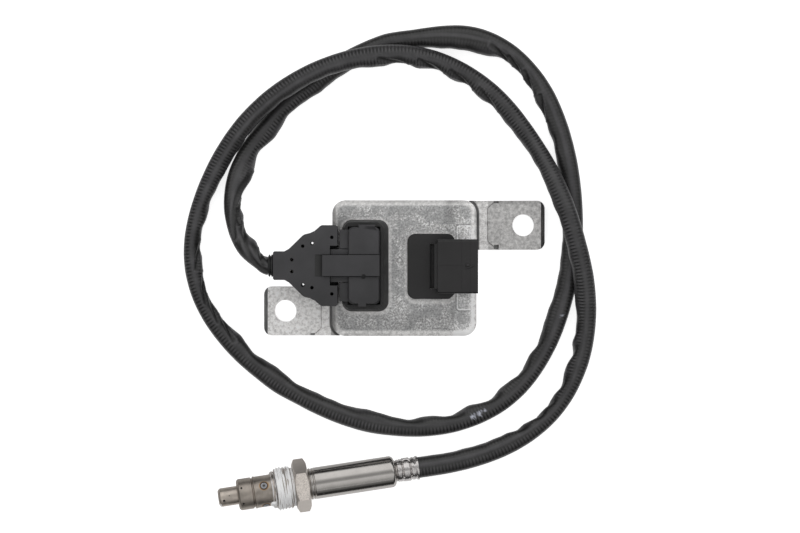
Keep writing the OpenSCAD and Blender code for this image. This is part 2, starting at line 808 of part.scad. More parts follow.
// Ribbed collar where the cable enters the cover
module cable_collar() {
    collar_r = 5.2;
    color([0.1, 0.1, 0.1])
    translate([collar_x0, plug_y, cable_z])
        rotate([0, 90, 0]) {
            difference() {
                rotate_extrude()
                    polygon([[0, 0], [cable_d / 2, 0], [collar_r, 0.3], [collar_r, 0.8], [cable_d / 2 + 0.1, 1],
                        [cable_d / 2 + 0.1, 1.3], [collar_r, 1.5], [collar_r, 2.1], [neck_y - 2.7, 2.4],
                        [neck_y - 2.7, 4], [0, 4]]);
                translate([0, 0, 2])
                    cylinder(r = neck_y - 3.6, h = 3);
            }
        }
}

// Free cable: a tube swept along a smooth curve through the route
function unit(v) = v / norm(v);
function mid_point(a, b, c, d) = (9 * (b + c) - a - d) / 16;
function smooth(p, n) = let (last = len(p) - 1)
    n == 0 ? p : [for (i = [0:last]) each i == last ? [p[i]] : (i < 7 || i > last - 3) ? [p[i]]
        : [p[i], mid_point(p[i - 1], p[i], p[i + 1], p[i + 2])]];
path = smooth(route, 1);
function along(p, i) = i == 0 ? start_dir : i == len(p) - 1 ? end_dir : unit(p[i + 1] - p[i - 1]);
function side_of(t) = unit(cross([0, 0, 1], t));

module cable_sleeve() {
    last = len(path) - 1;
    rings = [for (i = [0:last])
        let (t = along(path, i), a = side_of(t), b = cross(t, a))
        for (k = [0:cable_sides - 1])
            let (turn = 360 * k / cable_sides)
            path[i] + cable_d / 2 * (cos(turn) * a + sin(turn) * b)];
    sides = [for (i = [0:last - 1], k = [0:cable_sides - 1])
        let (n = cable_sides, k2 = (k + 1) % n)
        [i * n + k, (i + 1) * n + k, (i + 1) * n + k2, i * n + k2]];
    caps = [[for (k = [0:cable_sides - 1]) k],
        [for (k = [cable_sides - 1:-1:0]) last * cable_sides + k]];
    color([0.09, 0.09, 0.09])
        polyhedron(rings, concat(sides, caps), convexity = 10);
}

// Probe
module at_probe() {
    translate([probe_end[0], probe_end[1], probe_end_z])
        rotate([0, probe_tilt, probe_yaw])
            translate([-probe_l, 0, 0])
                children();
}

module turned(profile) {
    rotate([0, 90, 0])
        rotate_extrude($fn = 64)
            polygon(profile);
}

// A ring of radial drills, first one at the given angle from straight up
module drills(u, r, d, count, first) {
    for (i = [0:count - 1])
        translate([u, 0, 0])
            rotate([-(first + i * 360 / count), 0, 0])
                translate([0, 0, r])
                    cylinder(d = d, h = 8, $fn = 24);
}

function arc(cr, cu, r, a0, a1, n) = [for (i = [0:n]) let (a = a0 + (a1 - a0) * i / n) [cr + r * cos(a), cu + r * sin(a)]];

module tip_tube() {
    r = tip_d / 2;
    color([0.66, 0.63, 0.58])
    at_probe()
        difference() {
            turned(concat([[1.3, 0]], arc(r - 0.7, 0.7, 0.7, -90, 0, 4),
                [[r, collar_u0 - 4.8], [spigot_r - 0.1, collar_u0 - 4.8], [spigot_r - 0.1, collar_u0 - 4.2],
                [r - tube_wall, collar_u0 - 4.2], [r - tube_wall, tube_wall], [1.3, tube_wall]]));
            drills(2.4, r - 1, 1.2, 3, 100);
            drills(tip_l + 4, r - 1, 1.2, 4, 0);
        }
}

module outer_tube() {
    r = outer_d / 2;
    tube_u1 = collar_u0;
    seam_u = outer_u0 + 7.5;
    color([0.7, 0.66, 0.61])
    at_probe()
        difference() {
            turned(concat([[tip_d / 2 + 0.05, outer_u0]], arc(r - 0.9, outer_u0 + 0.9, 0.9, -90, 0, 4),
                [[r, seam_u - 0.4], [r - 0.2, seam_u], [r, seam_u + 0.4], [r, tube_u1], [r - tube_wall, tube_u1],
                [r - tube_wall, outer_u0 + tube_wall], [tip_d / 2 + 0.05, outer_u0 + tube_wall]]));
            drills(outer_u0 + 1.7, r - 1.5, gas_hole_d, 6, 34);
        }
}

module probe_shell() {
    front_r = outer_d / 2 - tube_wall - 0.05;
    stem_r = stem_d / 2;
    color([0.68, 0.67, 0.65])
    at_probe()
        difference() {
            turned([[element_w / 2 + 0.6, collar_u0 - 4.2], [front_r, collar_u0 - 4.2], [front_r, collar_u0],
                [collar_d / 2 - 0.5, collar_u0], [collar_d / 2, collar_u0 + 0.5], [collar_d / 2, collar_u1 - 0.2],
                [collar_d / 2 - 0.2, collar_u1], [stem_r, collar_u1], [stem_r, ring_u0], [spigot_r, ring_u0],
                [spigot_r, insul_u1 + 1], [bore_r, insul_u1 + 1], [bore_r, insul_u0],
                [element_w / 2 + 0.6, insul_u0]]);
        }
}

module sensing_element() {
    color([0.93, 0.92, 0.88])
    at_probe()
        block(element_u0, element_u1, -element_w / 2, element_w / 2, -element_t / 2, element_t / 2);
}

module ceramic(u0, u1, r) {
    at_probe()
        difference() {
            turned([[0, u0], [r, u0], [r, u1], [0, u1]]);
            block(u0 - 1, u1 + 1, -element_w / 2 - slip, element_w / 2 + slip, -element_t / 2 - slip,
                element_t / 2 + slip);
        }
}

module front_insulator() {
    color([0.92, 0.91, 0.87])
        ceramic(insul_u0 + 0.02, talc_u0, bore_r - 0.05);
}

module talc_ring() {
    color([0.78, 0.78, 0.75])
        ceramic(talc_u0 + 0.02, talc_u1 - 0.02, bore_r - 0.05);
}

module rear_insulator() {
    color([0.92, 0.91, 0.87])
        ceramic(talc_u1, insul_u1, bore_r - 0.05);
}

module contact_block() {
    r = sleeve_d / 2 - sleeve_wall - 0.1;
    half_slot = element_t / 2 + 1.1;
    color([0.95, 0.94, 0.9])
    at_probe()
        difference() {
            turned([[0, block_u0], [r, block_u0], [r, block_u1], [0, block_u1]]);
            block(block_u0 - 1, block_u1 + 1, -element_w / 2 - 0.4, element_w / 2 + 0.4, -half_slot, half_slot);
        }
}

module contact_springs() {
    strip_w = 0.7;
    color([0.8, 0.72, 0.5])
    at_probe()
        for (s = [-1, 1], i = [-1.5:1.5]) {
            z0 = s > 0 ? element_t / 2 + 0.02 : -element_t / 2 - 1.02;
            block(block_u0 + 1, block_u1 + 2, i * 1.05 - strip_w / 2, i * 1.05 + strip_w / 2, z0 + 0.35, z0 + 0.65);
            block(block_u0 + 3, block_u0 + 4.5, i * 1.05 - strip_w / 2, i * 1.05 + strip_w / 2, z0, z0 + 1);
        }
}

module probe_wires() {
    color([0.88, 0.87, 0.82])
    at_probe()
        for (i = [0:7])
            rotate([22.5 + i * 45, 0, 0])
                rod([block_u1 + 2.2, 0, 1.9], [grommet_u0 - 0.25, 0, 3.2], 0.6);
}

module cable_grommet() {
    color([0.3, 0.12, 0.1])
    at_probe()
        turned([[0, grommet_u0], [sleeve_d / 2 - sleeve_wall - 0.1, grommet_u0],
            [sleeve_d / 2 - sleeve_wall - 0.1, sleeve_u1 - 1], [neck_r - sleeve_wall - 0.1, sleeve_u1 + 0.8],
            [neck_r - sleeve_wall - 0.1, probe_l], [0, probe_l]]);
}

// Outline of the rounded rear end of the main sleeve
function shoulder(r0, r1, u0, l) = [for (a = [0:15:90]) [r1 + (r0 - r1) * cos(a), u0 + l * sin(a)]];

module main_sleeve() {
    r = sleeve_d / 2;
    ring_r = r - 0.25;
    color([0.72, 0.71, 0.69])
    at_probe()
        turned(concat([[spigot_r + 0.05, ring_u0], [ring_r, ring_u0], [ring_r, ring_u0 + 0.4], [r, ring_u0 + 0.7],
            [ring_r, ring_u0 + 1], [ring_r, sleeve_u0 - 0.9], [r, sleeve_u0 - 0.6], [ring_r, sleeve_u0 - 0.3],
            [r, sleeve_u0]], shoulder(r, neck_r, sleeve_u1, round_l), [[neck_r - sleeve_wall, ferrule_u0],
            [neck_r - sleeve_wall, sleeve_u1 + 1], [r - sleeve_wall, sleeve_u1 - 0.8],
            [r - sleeve_wall, sleeve_u0 + 0.4], [spigot_r + 0.05, sleeve_u0 + 0.2]]));
}

module crimp_ferrule() {
    r = ferrule_d / 2;
    in_r = neck_r - sleeve_wall;
    ring1 = ferrule_u0 + 0.6;
    bulge = ring1 + 2.5;
    ring2 = bulge + 3.4;
    color([0.8, 0.79, 0.77])
    at_probe()
        difference() {
            turned([[in_r, ferrule_u0], [neck_r, ferrule_u0], [r - 0.2, ring1], [r - 0.8, ring1 + 0.5],
                [r - 0.8, bulge - 0.5], [r + 0.2, bulge], [r + 0.2, ring2 - 0.5], [r - 0.6, ring2],
                [r - 0.6, ring2 + 1], [r, probe_l - 0.9], [r, probe_l], [in_r, probe_l]]);
            // Slots of the crimp
            for (i = [0:5])
                rotate([i * 60 + 12, 0, 0]) {
                    for (s = [-1, 1])
                        block(ring1 + 1.6, ring2 + 1.2, s * 1.2 - 0.2, s * 1.2 + 0.2, r - 0.9, r + 1);
                }
        }
}

module union_screw() {
    r = thread_d / 2;
    bore = stem_d / 2 + run_clear;
    chamfer = 0.6;
    corner_r = hex_af / 2 / cos(30);
    color([0.62, 0.6, 0.57])
    at_probe() {
        difference() {
            union() {
                turned([[0, screw_u0], [r - chamfer, screw_u0], [r, screw_u0 + chamfer], [r, relief_u0 - chamfer],
                    [r - 1.1, relief_u0], [r - 1.1, hex_u0 + 0.1], [0, hex_u0 + 0.1]]);
                intersection() {
                    translate([hex_u0, 0, 0])
                        rotate([0, 90, 0])
                            rotate(30)
                                cylinder(r = corner_r, h = hex_t, $fn = 6);
                    turned([[0, hex_u0], [hex_af / 2 - 0.3, hex_u0], [corner_r + 0.3, hex_u0 + 1.2],
                        [corner_r + 0.3, hex_u1 - 1.2], [hex_af / 2 - 0.3, hex_u1], [0, hex_u1]]);
                }
            }
            turned([[0, screw_u0 - 1], [bore, screw_u0 - 1], [bore, hex_u1 + 1], [0, hex_u1 + 1]]);
        }
    }
}

housing();
base_plate();
base_seal();
base_screws();
circuit_board();
board_parts();
board_screws();
sensor_header();
sensor_header_seal();
sensor_terminals();
vehicle_header();
vehicle_header_seal();
vehicle_terminals();
plug_body();
plug_contacts();
plug_lock();
wire_cover_top();
wire_cover_base();
lead_wires();
cable_collar();
cable_sleeve();
cable_grommet();
crimp_ferrule();
main_sleeve();
contact_block();
contact_springs();
probe_wires();
rear_insulator();
talc_ring();
front_insulator();
sensing_element();
probe_shell();
union_screw();
outer_tube();
tip_tube();
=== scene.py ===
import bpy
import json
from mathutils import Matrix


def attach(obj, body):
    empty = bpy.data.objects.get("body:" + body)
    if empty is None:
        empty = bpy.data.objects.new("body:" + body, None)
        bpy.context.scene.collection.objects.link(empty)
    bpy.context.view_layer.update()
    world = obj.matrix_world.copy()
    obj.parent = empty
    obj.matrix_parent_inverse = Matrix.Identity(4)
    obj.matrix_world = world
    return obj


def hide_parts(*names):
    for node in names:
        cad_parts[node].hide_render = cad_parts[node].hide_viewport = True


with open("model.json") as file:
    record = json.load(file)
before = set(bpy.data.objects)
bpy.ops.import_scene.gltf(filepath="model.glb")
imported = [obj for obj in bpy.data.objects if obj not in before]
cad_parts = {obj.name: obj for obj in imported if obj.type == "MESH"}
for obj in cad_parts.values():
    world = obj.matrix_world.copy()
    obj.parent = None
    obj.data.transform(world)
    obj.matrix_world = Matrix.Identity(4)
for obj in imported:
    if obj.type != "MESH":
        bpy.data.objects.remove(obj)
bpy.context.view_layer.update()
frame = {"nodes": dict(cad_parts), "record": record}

import json
import math

import bmesh
import bpy
import numpy as np
from mathutils import Matrix, Vector, noise

MM = 0.001
UNIT = "unit"
SCREW = "screw"
scene = bpy.context.scene


class Graph:
    """Short calls that add nodes to a tree. A value is a number, a colour or another node's socket."""

    def __init__(self, tree):
        self.tree = tree

    def feed(self, value, target):
        if isinstance(value, bpy.types.NodeSocket):
            self.tree.links.new(value, target)
        elif isinstance(value, tuple):
            target.default_value = (*value, 1)
        else:
            target.default_value = value

    def math(self, kind, a, b=0.0):
        node = self.tree.nodes.new("ShaderNodeMath")
        node.operation = kind
        self.feed(a, node.inputs[0])
        self.feed(b, node.inputs[1])
        return node.outputs[0]

    def times(self, a, b):
        return self.math("MULTIPLY", a, b)

    def most(self, a, b):
        return self.math("MAXIMUM", a, b)

    def rest(self, value):
        """What a value lacks of one."""
        return self.math("SUBTRACT", 1.0, value)

    def span(self, value, low, high, out_low=0.0, out_high=1.0, smooth=False):
        node = self.tree.nodes.new("ShaderNodeMapRange")
        node.clamp = True
        if smooth:
            node.interpolation_type = "SMOOTHSTEP"
        for key, number in (("From Min", low), ("From Max", high), ("To Min", out_low), ("To Max", out_high)):
            node.inputs[key].default_value = number
        self.tree.links.new(value, node.inputs["Value"])
        return node.outputs["Result"]

    def blend(self, amount, a, b):
        """A plain number between a and b."""
        node = self.tree.nodes.new("ShaderNodeMix")
        node.data_type = "FLOAT"
        for value, target in zip((amount, a, b), (node.inputs[0], node.inputs[2], node.inputs[3])):
            self.feed(value, target)
        return node.outputs[0]

    def ramp(self, value, stops):
        node = self.tree.nodes.new("ShaderNodeValToRGB")
        band = node.color_ramp
        while len(band.elements) < len(stops):
            band.elements.new(0.5)
        for element, (place, colour) in zip(band.elements, stops):
            element.position = place
            element.color = (*colour, 1)
        self.tree.links.new(value, node.inputs[0])
        return node.outputs[0]


# Node materials. Every texture reads the object's own coordinates, in millimetres.
class Shade(Graph):
    def __init__(self, name, colour=(0.5, 0.5, 0.5), metallic=0.0, roughness=0.5, **sockets):
        self.material = bpy.data.materials.new(name)
        self.material.use_nodes = True
        super().__init__(self.material.node_tree)
        self.bsdf = self.tree.nodes["Principled BSDF"]
        self.set("Base Color", colour)
        self.set("Metallic", metallic)
        self.set("Roughness", roughness)
        for key, value in sockets.items():
            self.set(key.replace("_", " "), value)
        place = self.tree.nodes.new("ShaderNodeTexCoord")
        scaled = self.tree.nodes.new("ShaderNodeVectorMath")
        scaled.operation = "SCALE"
        scaled.inputs["Scale"].default_value = 1 / MM
        self.tree.links.new(place.outputs["Object"], scaled.inputs[0])
        self.place = scaled.outputs[0]
        self.normal = None

    def set(self, socket, value):
        self.feed(value, self.bsdf.inputs[socket])

    def stretched(self, x, y, z, turn=None):
        node = self.tree.nodes.new("ShaderNodeMapping")
        node.vector_type = "POINT"
        node.inputs["Scale"].default_value = (x, y, z)
        source = self.place
        if turn is not None:
            spin = self.tree.nodes.new("ShaderNodeMapping")
            spin.vector_type = "POINT"
            spin.inputs["Rotation"].default_value = turn
            self.tree.links.new(source, spin.inputs["Vector"])
            source = spin.outputs["Vector"]
        self.tree.links.new(source, node.inputs["Vector"])
        return node.outputs["Vector"]

    def noise(self, size, detail=4.0, rough=0.5, vector=None, warp=0.0):
        node = self.tree.nodes.new("ShaderNodeTexNoise")
        node.inputs["Scale"].default_value = 1 / size
        node.inputs["Detail"].default_value = detail
        node.inputs["Roughness"].default_value = rough
        node.inputs["Distortion"].default_value = warp
        self.tree.links.new(vector or self.place, node.inputs["Vector"])
        return node.outputs["Fac"]

    def cells(self, size, feature="F1"):
        node = self.tree.nodes.new("ShaderNodeTexVoronoi")
        node.feature = feature
        node.inputs["Scale"].default_value = 1 / size
        self.tree.links.new(self.place, node.inputs["Vector"])
        return node.outputs["Distance"]

    def axis(self, name):
        node = self.tree.nodes.new("ShaderNodeSeparateXYZ")
        self.tree.links.new(self.place, node.inputs[0])
        return node.outputs[name]

    def mix(self, amount, a, b, kind="MIX"):
        node = self.tree.nodes.new("ShaderNodeMix")
        node.data_type = "RGBA"
        node.blend_type = kind
        self.feed(amount, node.inputs[0])
        self.feed(a, node.inputs[6])
        self.feed(b, node.inputs[7])
        return node.outputs[2]

    def attribute(self, name):
        node = self.tree.nodes.new("ShaderNodeAttribute")
        node.attribute_name = name
        return node.outputs["Fac"]

    def bump(self, height, depth, strength=1.0):
        node = self.tree.nodes.new("ShaderNodeBump")
        node.inputs["Strength"].default_value = strength
        node.inputs["Distance"].default_value = depth * MM
        self.tree.links.new(height, node.inputs["Height"])
        if self.normal is not None:
            self.tree.links.new(self.normal, node.inputs["Normal"])
        self.normal = node.outputs["Normal"]
        self.tree.links.new(self.normal, self.bsdf.inputs["Normal"])


# Marks of the casting tool on the housing's top, in millimetres
EJECTOR, EJECTOR_R = (27.7, -23.5), 2.7
PAD_BOX = (31.2, 0.15, 6.6, 20.05)
PUNCH = (-2.2, 3.6)


def grey(value, warm=0.0):
    return (value * (1 + warm), value, value * (1 - warm))


def cast_aluminium():
    s = Shade("cast_aluminium", metallic=0.88)
    flecks = s.noise(0.8, 5, 0.78)
    clouds = s.noise(9, 4, 0.6, warp=0.8)
    grain = s.noise(1.7, 6, 0.75)
    x, y, height = s.axis("X"), s.axis("Y"), s.axis("Z")
    across = s.math("ABSOLUTE", x)
    base = s.ramp(flecks, [(0.37, grey(0.27)), (0.5, grey(0.54, 0.012)), (0.61, grey(1.0))])
    duller = s.ramp(flecks, [(0.37, grey(0.26)), (0.62, grey(0.6))])
    patchy = s.mix(s.span(clouds, 0.44, 0.56), base, duller)
    # A paler grain below the top face and on the ears: a painted highlight on the rounded shoulders
    pale = s.ramp(grain, [(0.36, grey(0.5, 0.014)), (0.62, grey(0.98, 0.014))])
    rim = s.rest(s.span(height, 16.4, 16.9))
    ears = s.span(across, 34.5, 36.0)
    low = s.most(s.times(rim, 0.85), ears)

    def squared(a, b):
        return s.math("ADD", s.times(a, a), s.times(b, b))

    def beyond(value, middle, half):
        """How far a value lies past a stretch about its middle, negative inside it."""
        return s.math("SUBTRACT", s.math("ABSOLUTE", s.math("SUBTRACT", value, middle)), half)

    def box_gap(cx, cy, half_x, half_y, round_off):
        """Distance from a round-cornered box, seen from above."""
        dx = s.most(beyond(x, cx, half_x - round_off), 0.0)
        dy = s.most(beyond(y, cy, half_y - round_off), 0.0)
        return s.math("SUBTRACT", s.math("SQRT", squared(dx, dy)), round_off)

    def near(value, middle, width):
        """One where a value passes its middle, falling to nothing over the width on both sides."""
        off = s.math("ABSOLUTE", s.math("SUBTRACT", value, middle))
        return s.rest(s.span(off, 0.0, width))

    def disc_gap(cx, cy):
        return s.math("SQRT", squared(s.math("SUBTRACT", x, cx), s.math("SUBTRACT", y, cy)))

    # Raised lips round the two connector windows: a painted highlight on the lips, painted shade in the
    # furrow beyond them
    lips = s.math("MINIMUM", box_gap(-18.4, 0.8, 11.0, 21.6, 5.0), box_gap(12.3, 0.0, 10.8, 15.7, 4.0))
    lip = s.times(s.rest(s.span(lips, 0.9, 1.7)), 0.7)
    painted_furrow_shade = s.times(s.span(lips, 1.5, 2.1), s.rest(s.span(lips, 2.1, 3.4)))
    metal = s.mix(s.most(low, lip), patchy, pale)
    metal = s.mix(s.times(painted_furrow_shade, 0.5), metal, duller)
    # Tool marks on the top: an ejector disc, a raised pad beside the connector and a centre punch, with
    # painted shade along their grooves and painted highlights just inside the pad line and in the punch
    on_deck = s.span(height, 16.7, 16.95)
    disc = disc_gap(*EJECTOR)
    marks = s.times(near(disc, EJECTOR_R, 0.35), 0.55)
    marks = s.most(marks, s.times(s.rest(s.span(disc, EJECTOR_R - 0.6, EJECTOR_R)), 0.3))
    pad = box_gap(*PAD_BOX, 1.2)
    marks = s.most(marks, s.times(near(pad, 0.3, 0.35), 0.75))
    glint = s.times(near(pad, -0.35, 0.4), 0.55)
    punch = disc_gap(*PUNCH)
    marks = s.most(marks, s.times(near(punch, 1.15, 0.4), 0.85))
    glint = s.most(glint, s.rest(s.span(punch, 0.4, 0.9)))
    metal = s.mix(s.times(marks, on_deck), metal, grey(0.12))
    metal = s.mix(s.times(glint, on_deck), metal, grey(1.0))
    # Painted light and shade by side: shoulders and ears painted dull on -X, bright on -Y and +X, duller on
    # the right ear
    painted_light_gain = s.times(s.span(x, -33.0, -31.8, 0.5, 1.0), s.span(x, 32.6, 33.4, 1.0, 0.7))
    painted_light_gain = s.times(painted_light_gain, s.span(y, -30.2, -28.8, 1.45, 1.0))
    painted_light_gain = s.times(painted_light_gain, s.span(y, 30.0, 31.0, 1.0, 0.74))
    painted_shade_low_y = s.most(s.span(y, -24.0, -16.0, 0.76, 1.0), s.span(x, 18.0, 24.0, 0.0, 1.0))
    painted_light_gain = s.times(painted_light_gain, painted_shade_low_y)
    painted_light_gain = s.most(painted_light_gain, s.times(s.span(x, -34.6, -35.0, 0.0, 1.0), 1.15))
    painted_light_gain = s.times(painted_light_gain, s.span(x, 22.0, 30.0, 1.0, 1.55))
    painted_dim_high_y = s.most(s.span(y, 16.0, 25.0, 1.0, 0.72), s.span(x, 18.0, 26.0, 1.0, 0.0))
    painted_light_gain = s.times(painted_light_gain, s.most(painted_dim_high_y, s.span(x, 33.2, 34.2)))
    painted_light_gain = s.times(painted_light_gain, s.span(x, 39.4, 40.0, 1.0, 0.7))
    metal = s.mix(1.0, metal, painted_light_gain, "MULTIPLY")
    # Painted shade in the corner where the wall meets an ear, and on the sloped end of each ear
    wall = box_gap(0.0, 0.0, 34.0, 32.0, 6.0)
    painted_shade = s.times(s.span(wall, 0.0, 0.3), s.rest(s.span(wall, 1.3, 1.8)))
    painted_shade = s.times(painted_shade, s.rest(s.span(height, 9.0, 12.0)))
    end = s.span(across, 64.85, 65.05)
    # Painted shade in the notches in both long edges of each ear
    tall = s.math("ABSOLUTE", y)
    notch = s.math("MINIMUM", beyond(tall, 31.6, 0.7), beyond(tall, 10.0, 1.0))
    notch = s.most(beyond(across, 43.6, 1.1), notch)
    painted_shade = s.most(painted_shade, s.times(s.rest(s.span(notch, -0.15, 0.15)), 0.85))
    # Streaky dark grey for all this painted shade
    stripes = s.noise(0.5, 2, 0.5, s.stretched(1, 0.04, 1))
    dark = s.ramp(stripes, [(0.35, grey(0.1)), (0.65, grey(0.26))])
    s.set("Base Color", s.mix(s.most(end, painted_shade), metal, dark))
    s.set("Roughness", s.span(grain, 0.3, 0.7, 0.36, 0.56))
    s.bump(s.noise(0.8, 4, 0.7), 0.12, 0.7)
    s.bump(s.noise(2.4, 3, 0.6), 0.12, 0.35)
    pits = s.span(s.cells(2.1), 0.0, 0.14, 0.0, 1.0)
    s.bump(pits, 0.06, 0.5)
    return s


def plastic(name, colour, roughness, grain, depth=0.015, streak=None, painted_light_plus_y=False):
    s = Shade(name, roughness=roughness)
    fine = s.noise(grain, 3, 0.6)
    wide = s.noise(14, 3, 0.5)
    dark = tuple(0.82 * c for c in colour)
    light = tuple(1.22 * c for c in colour)
    body = s.ramp(wide, [(0.3, dark), (0.7, light)])
    if painted_light_plus_y:
        # Painted light: a shade paler towards +Y, like the photographed mouldings
        body = s.mix(1.0, body, s.span(s.axis("Y"), -14.0, 16.0, 0.84, 1.3), "MULTIPLY")
    s.set("Base Color", body)
    s.set("Roughness", s.span(s.noise(5, 4, 0.6), 0.3, 0.7, roughness - 0.05, roughness + 0.07))
    s.bump(fine, depth, 0.8)
    if streak:
        s.bump(s.noise(1.2, 2, 0.5, s.stretched(0.12, 1, 1)), streak, 0.5)
    return s


def turned_steel(name, colour, roughness, line=0.5, depth=0.004, blot=0.12):
    s = Shade(name, colour, metallic=1.0, roughness=roughness)
    lines = s.noise(line, 3, 0.6, s.stretched(1, 0.06, 0.06, turn=probe_turn))
    cloud = s.noise(5, 4, 0.6)
    shade_low = tuple(c * (1 - blot) for c in colour)
    shade_high = tuple(min(1.0, c * (1 + blot)) for c in colour)
    s.set("Base Color", s.ramp(cloud, [(0.3, shade_low), (0.7, shade_high)]))
    s.set("Roughness", s.span(lines, 0.3, 0.7, roughness * 0.8, roughness * 1.25))
    s.bump(lines, depth, 0.7)
    return s


def simple(name, colour, metallic, roughness, grain=0.8, depth=0.02, spread=0.15):
    s = Shade(name, metallic=metallic)
    cloud = s.noise(grain * 4, 4, 0.6)
    low = tuple(c * (1 - spread) for c in colour)
    high = tuple(min(1.0, c * (1 + spread)) for c in colour)
    s.set("Base Color", s.ramp(cloud, [(0.3, low), (0.7, high)]))
    s.set("Roughness", s.span(s.noise(grain * 2, 3, 0.6), 0.3, 0.7, roughness * 0.85, roughness * 1.15))
    s.bump(s.noise(grain, 3, 0.6), depth, 0.6)
    return s


# The probe's frame: +X runs along its axis from the tip to the cable
PROBE_END = (6.4, -94.8, 5.9033)
PROBE_PITCH = 5.5673
PROBE_YAW = 8.27
PROBE_L = 95.0
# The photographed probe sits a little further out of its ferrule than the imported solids
PROBE_SLIP = 0.65
probe_matrix = (
    Matrix.Translation(Vector(PROBE_END) * MM)
    @ Matrix.Rotation(math.radians(PROBE_YAW), 4, "Z")
    @ Matrix.Rotation(math.radians(PROBE_PITCH), 4, "Y")
    @ Matrix.Translation(Vector((-(PROBE_L + PROBE_SLIP) * MM, 0, 0)))
)
probe_axis = (probe_matrix.to_3x3() @ Vector((1, 0, 0))).normalized()
probe_turn = probe_matrix.to_3x3().inverted().to_euler("XYZ")


def jacket():
    """Thin skin over corrugated conduit: painted shade in the grooves on the flanks, a painted sheen band
    along the top.
    """
    s = Shade("cable_jacket", roughness=0.34)
    wide = s.noise(9, 4, 0.6)
    rib = s.math("SINE", s.times(s.attribute("rib_count"), 2 * math.pi))
    # Painted shade in the rib grooves on the flanks
    low = s.rest(s.span(rib, -0.9, 0.35))
    groove = s.times(low, s.attribute("flank"))
    plain = s.ramp(wide, [(0.36, grey(0.0155, 0.02)), (0.64, grey(0.0265, 0.02))])
    mottled_tone = s.ramp(wide, [(0.36, (0.05, 0.0485, 0.052)), (0.64, (0.076, 0.074, 0.078))])
    crest = s.times(s.rest(low), s.attribute("flank"))
    smooth = s.attribute("band")
    # Painted sheen: the band and the rib crests take the paler tone, and band values above one, at the
    # pinches, a pale grey painted highlight
    skin = s.mix(s.most(smooth, s.times(crest, 0.9)), plain, mottled_tone)
    skin = s.mix(s.span(smooth, 1.0, 1.3, 0.0, 0.6), skin, (0.14, 0.137, 0.135))
    ribbed = s.mix(groove, skin, grey(0.003))
    # Painted shade in the folds and creases
    shaded = s.mix(s.times(s.attribute("fold"), 0.85), ribbed, grey(0.004))
    s.set("Base Color", s.mix(s.attribute("scuff"), shaded, (0.55, 0.57, 0.66)))
    s.set("Roughness", s.span(s.noise(4, 4, 0.6), 0.3, 0.7, 0.28, 0.42))
    s.bump(s.rest(groove), 0.22, 0.8)
    s.bump(s.noise(0.7, 4, 0.65), 0.03, 0.5)
    s.bump(s.noise(2.6, 3, 0.6), 0.14, 0.4)
    return s


def board_green():
    s = Shade("board_green", roughness=0.35)
    lines = s.cells(3.2, "DISTANCE_TO_EDGE")
    trace = s.span(lines, 0.02, 0.06)
    s.set("Base Color", s.mix(trace, (0.03, 0.16, 0.07), (0.015, 0.09, 0.04)))
    s.bump(trace, 0.02, 0.6)
    return s


def white_paste():
    s = Shade("white_paste", roughness=0.42, Coat_Weight=0.2)
    cloud = s.noise(1.1, 4, 0.6, s.stretched(1, 0.2, 0.2, turn=probe_turn))
    s.set("Base Color", s.ramp(cloud, [(0.34, (0.86, 0.85, 0.86)), (0.46, (1.0, 1.0, 1.0))]))
    s.bump(s.noise(0.6, 4, 0.6), 0.05, 0.5)
    return s


def heat_steel(name, colour, roughness):
    """Tube steel, with the heat colours of the weld spots read from a mesh attribute."""
    s = turned_steel(name, colour, roughness, 0.7, 0.002, 0.16)
    halo = s.attribute("weld")
    tint = s.ramp(
        halo,
        [
            (0.0, colour),
            (0.12, (0.42, 0.32, 0.22)),
            (0.24, (0.22, 0.13, 0.07)),
            (0.34, (0.07, 0.055, 0.05)),
            (0.45, (0.11, 0.11, 0.115)),
            (0.53, (0.5, 0.51, 0.53)),
            (0.59, (0.13, 0.13, 0.14)),
            (0.69, (0.3, 0.3, 0.31)),
            (0.77, (0.14, 0.14, 0.14)),
            (0.86, (0.03, 0.03, 0.03)),
            (1.0, (0.16, 0.15, 0.15)),
        ],
    )
    patch = s.noise(4, 4, 0.6)
    mottled_tone = s.mix(s.span(patch, 0.35, 0.7), tuple(c * 0.8 for c in colour), tuple(c * 1.15 for c in colour))
    s.set("Base Color", s.mix(s.span(halo, 0.0, 0.1), mottled_tone, tint))
    return s


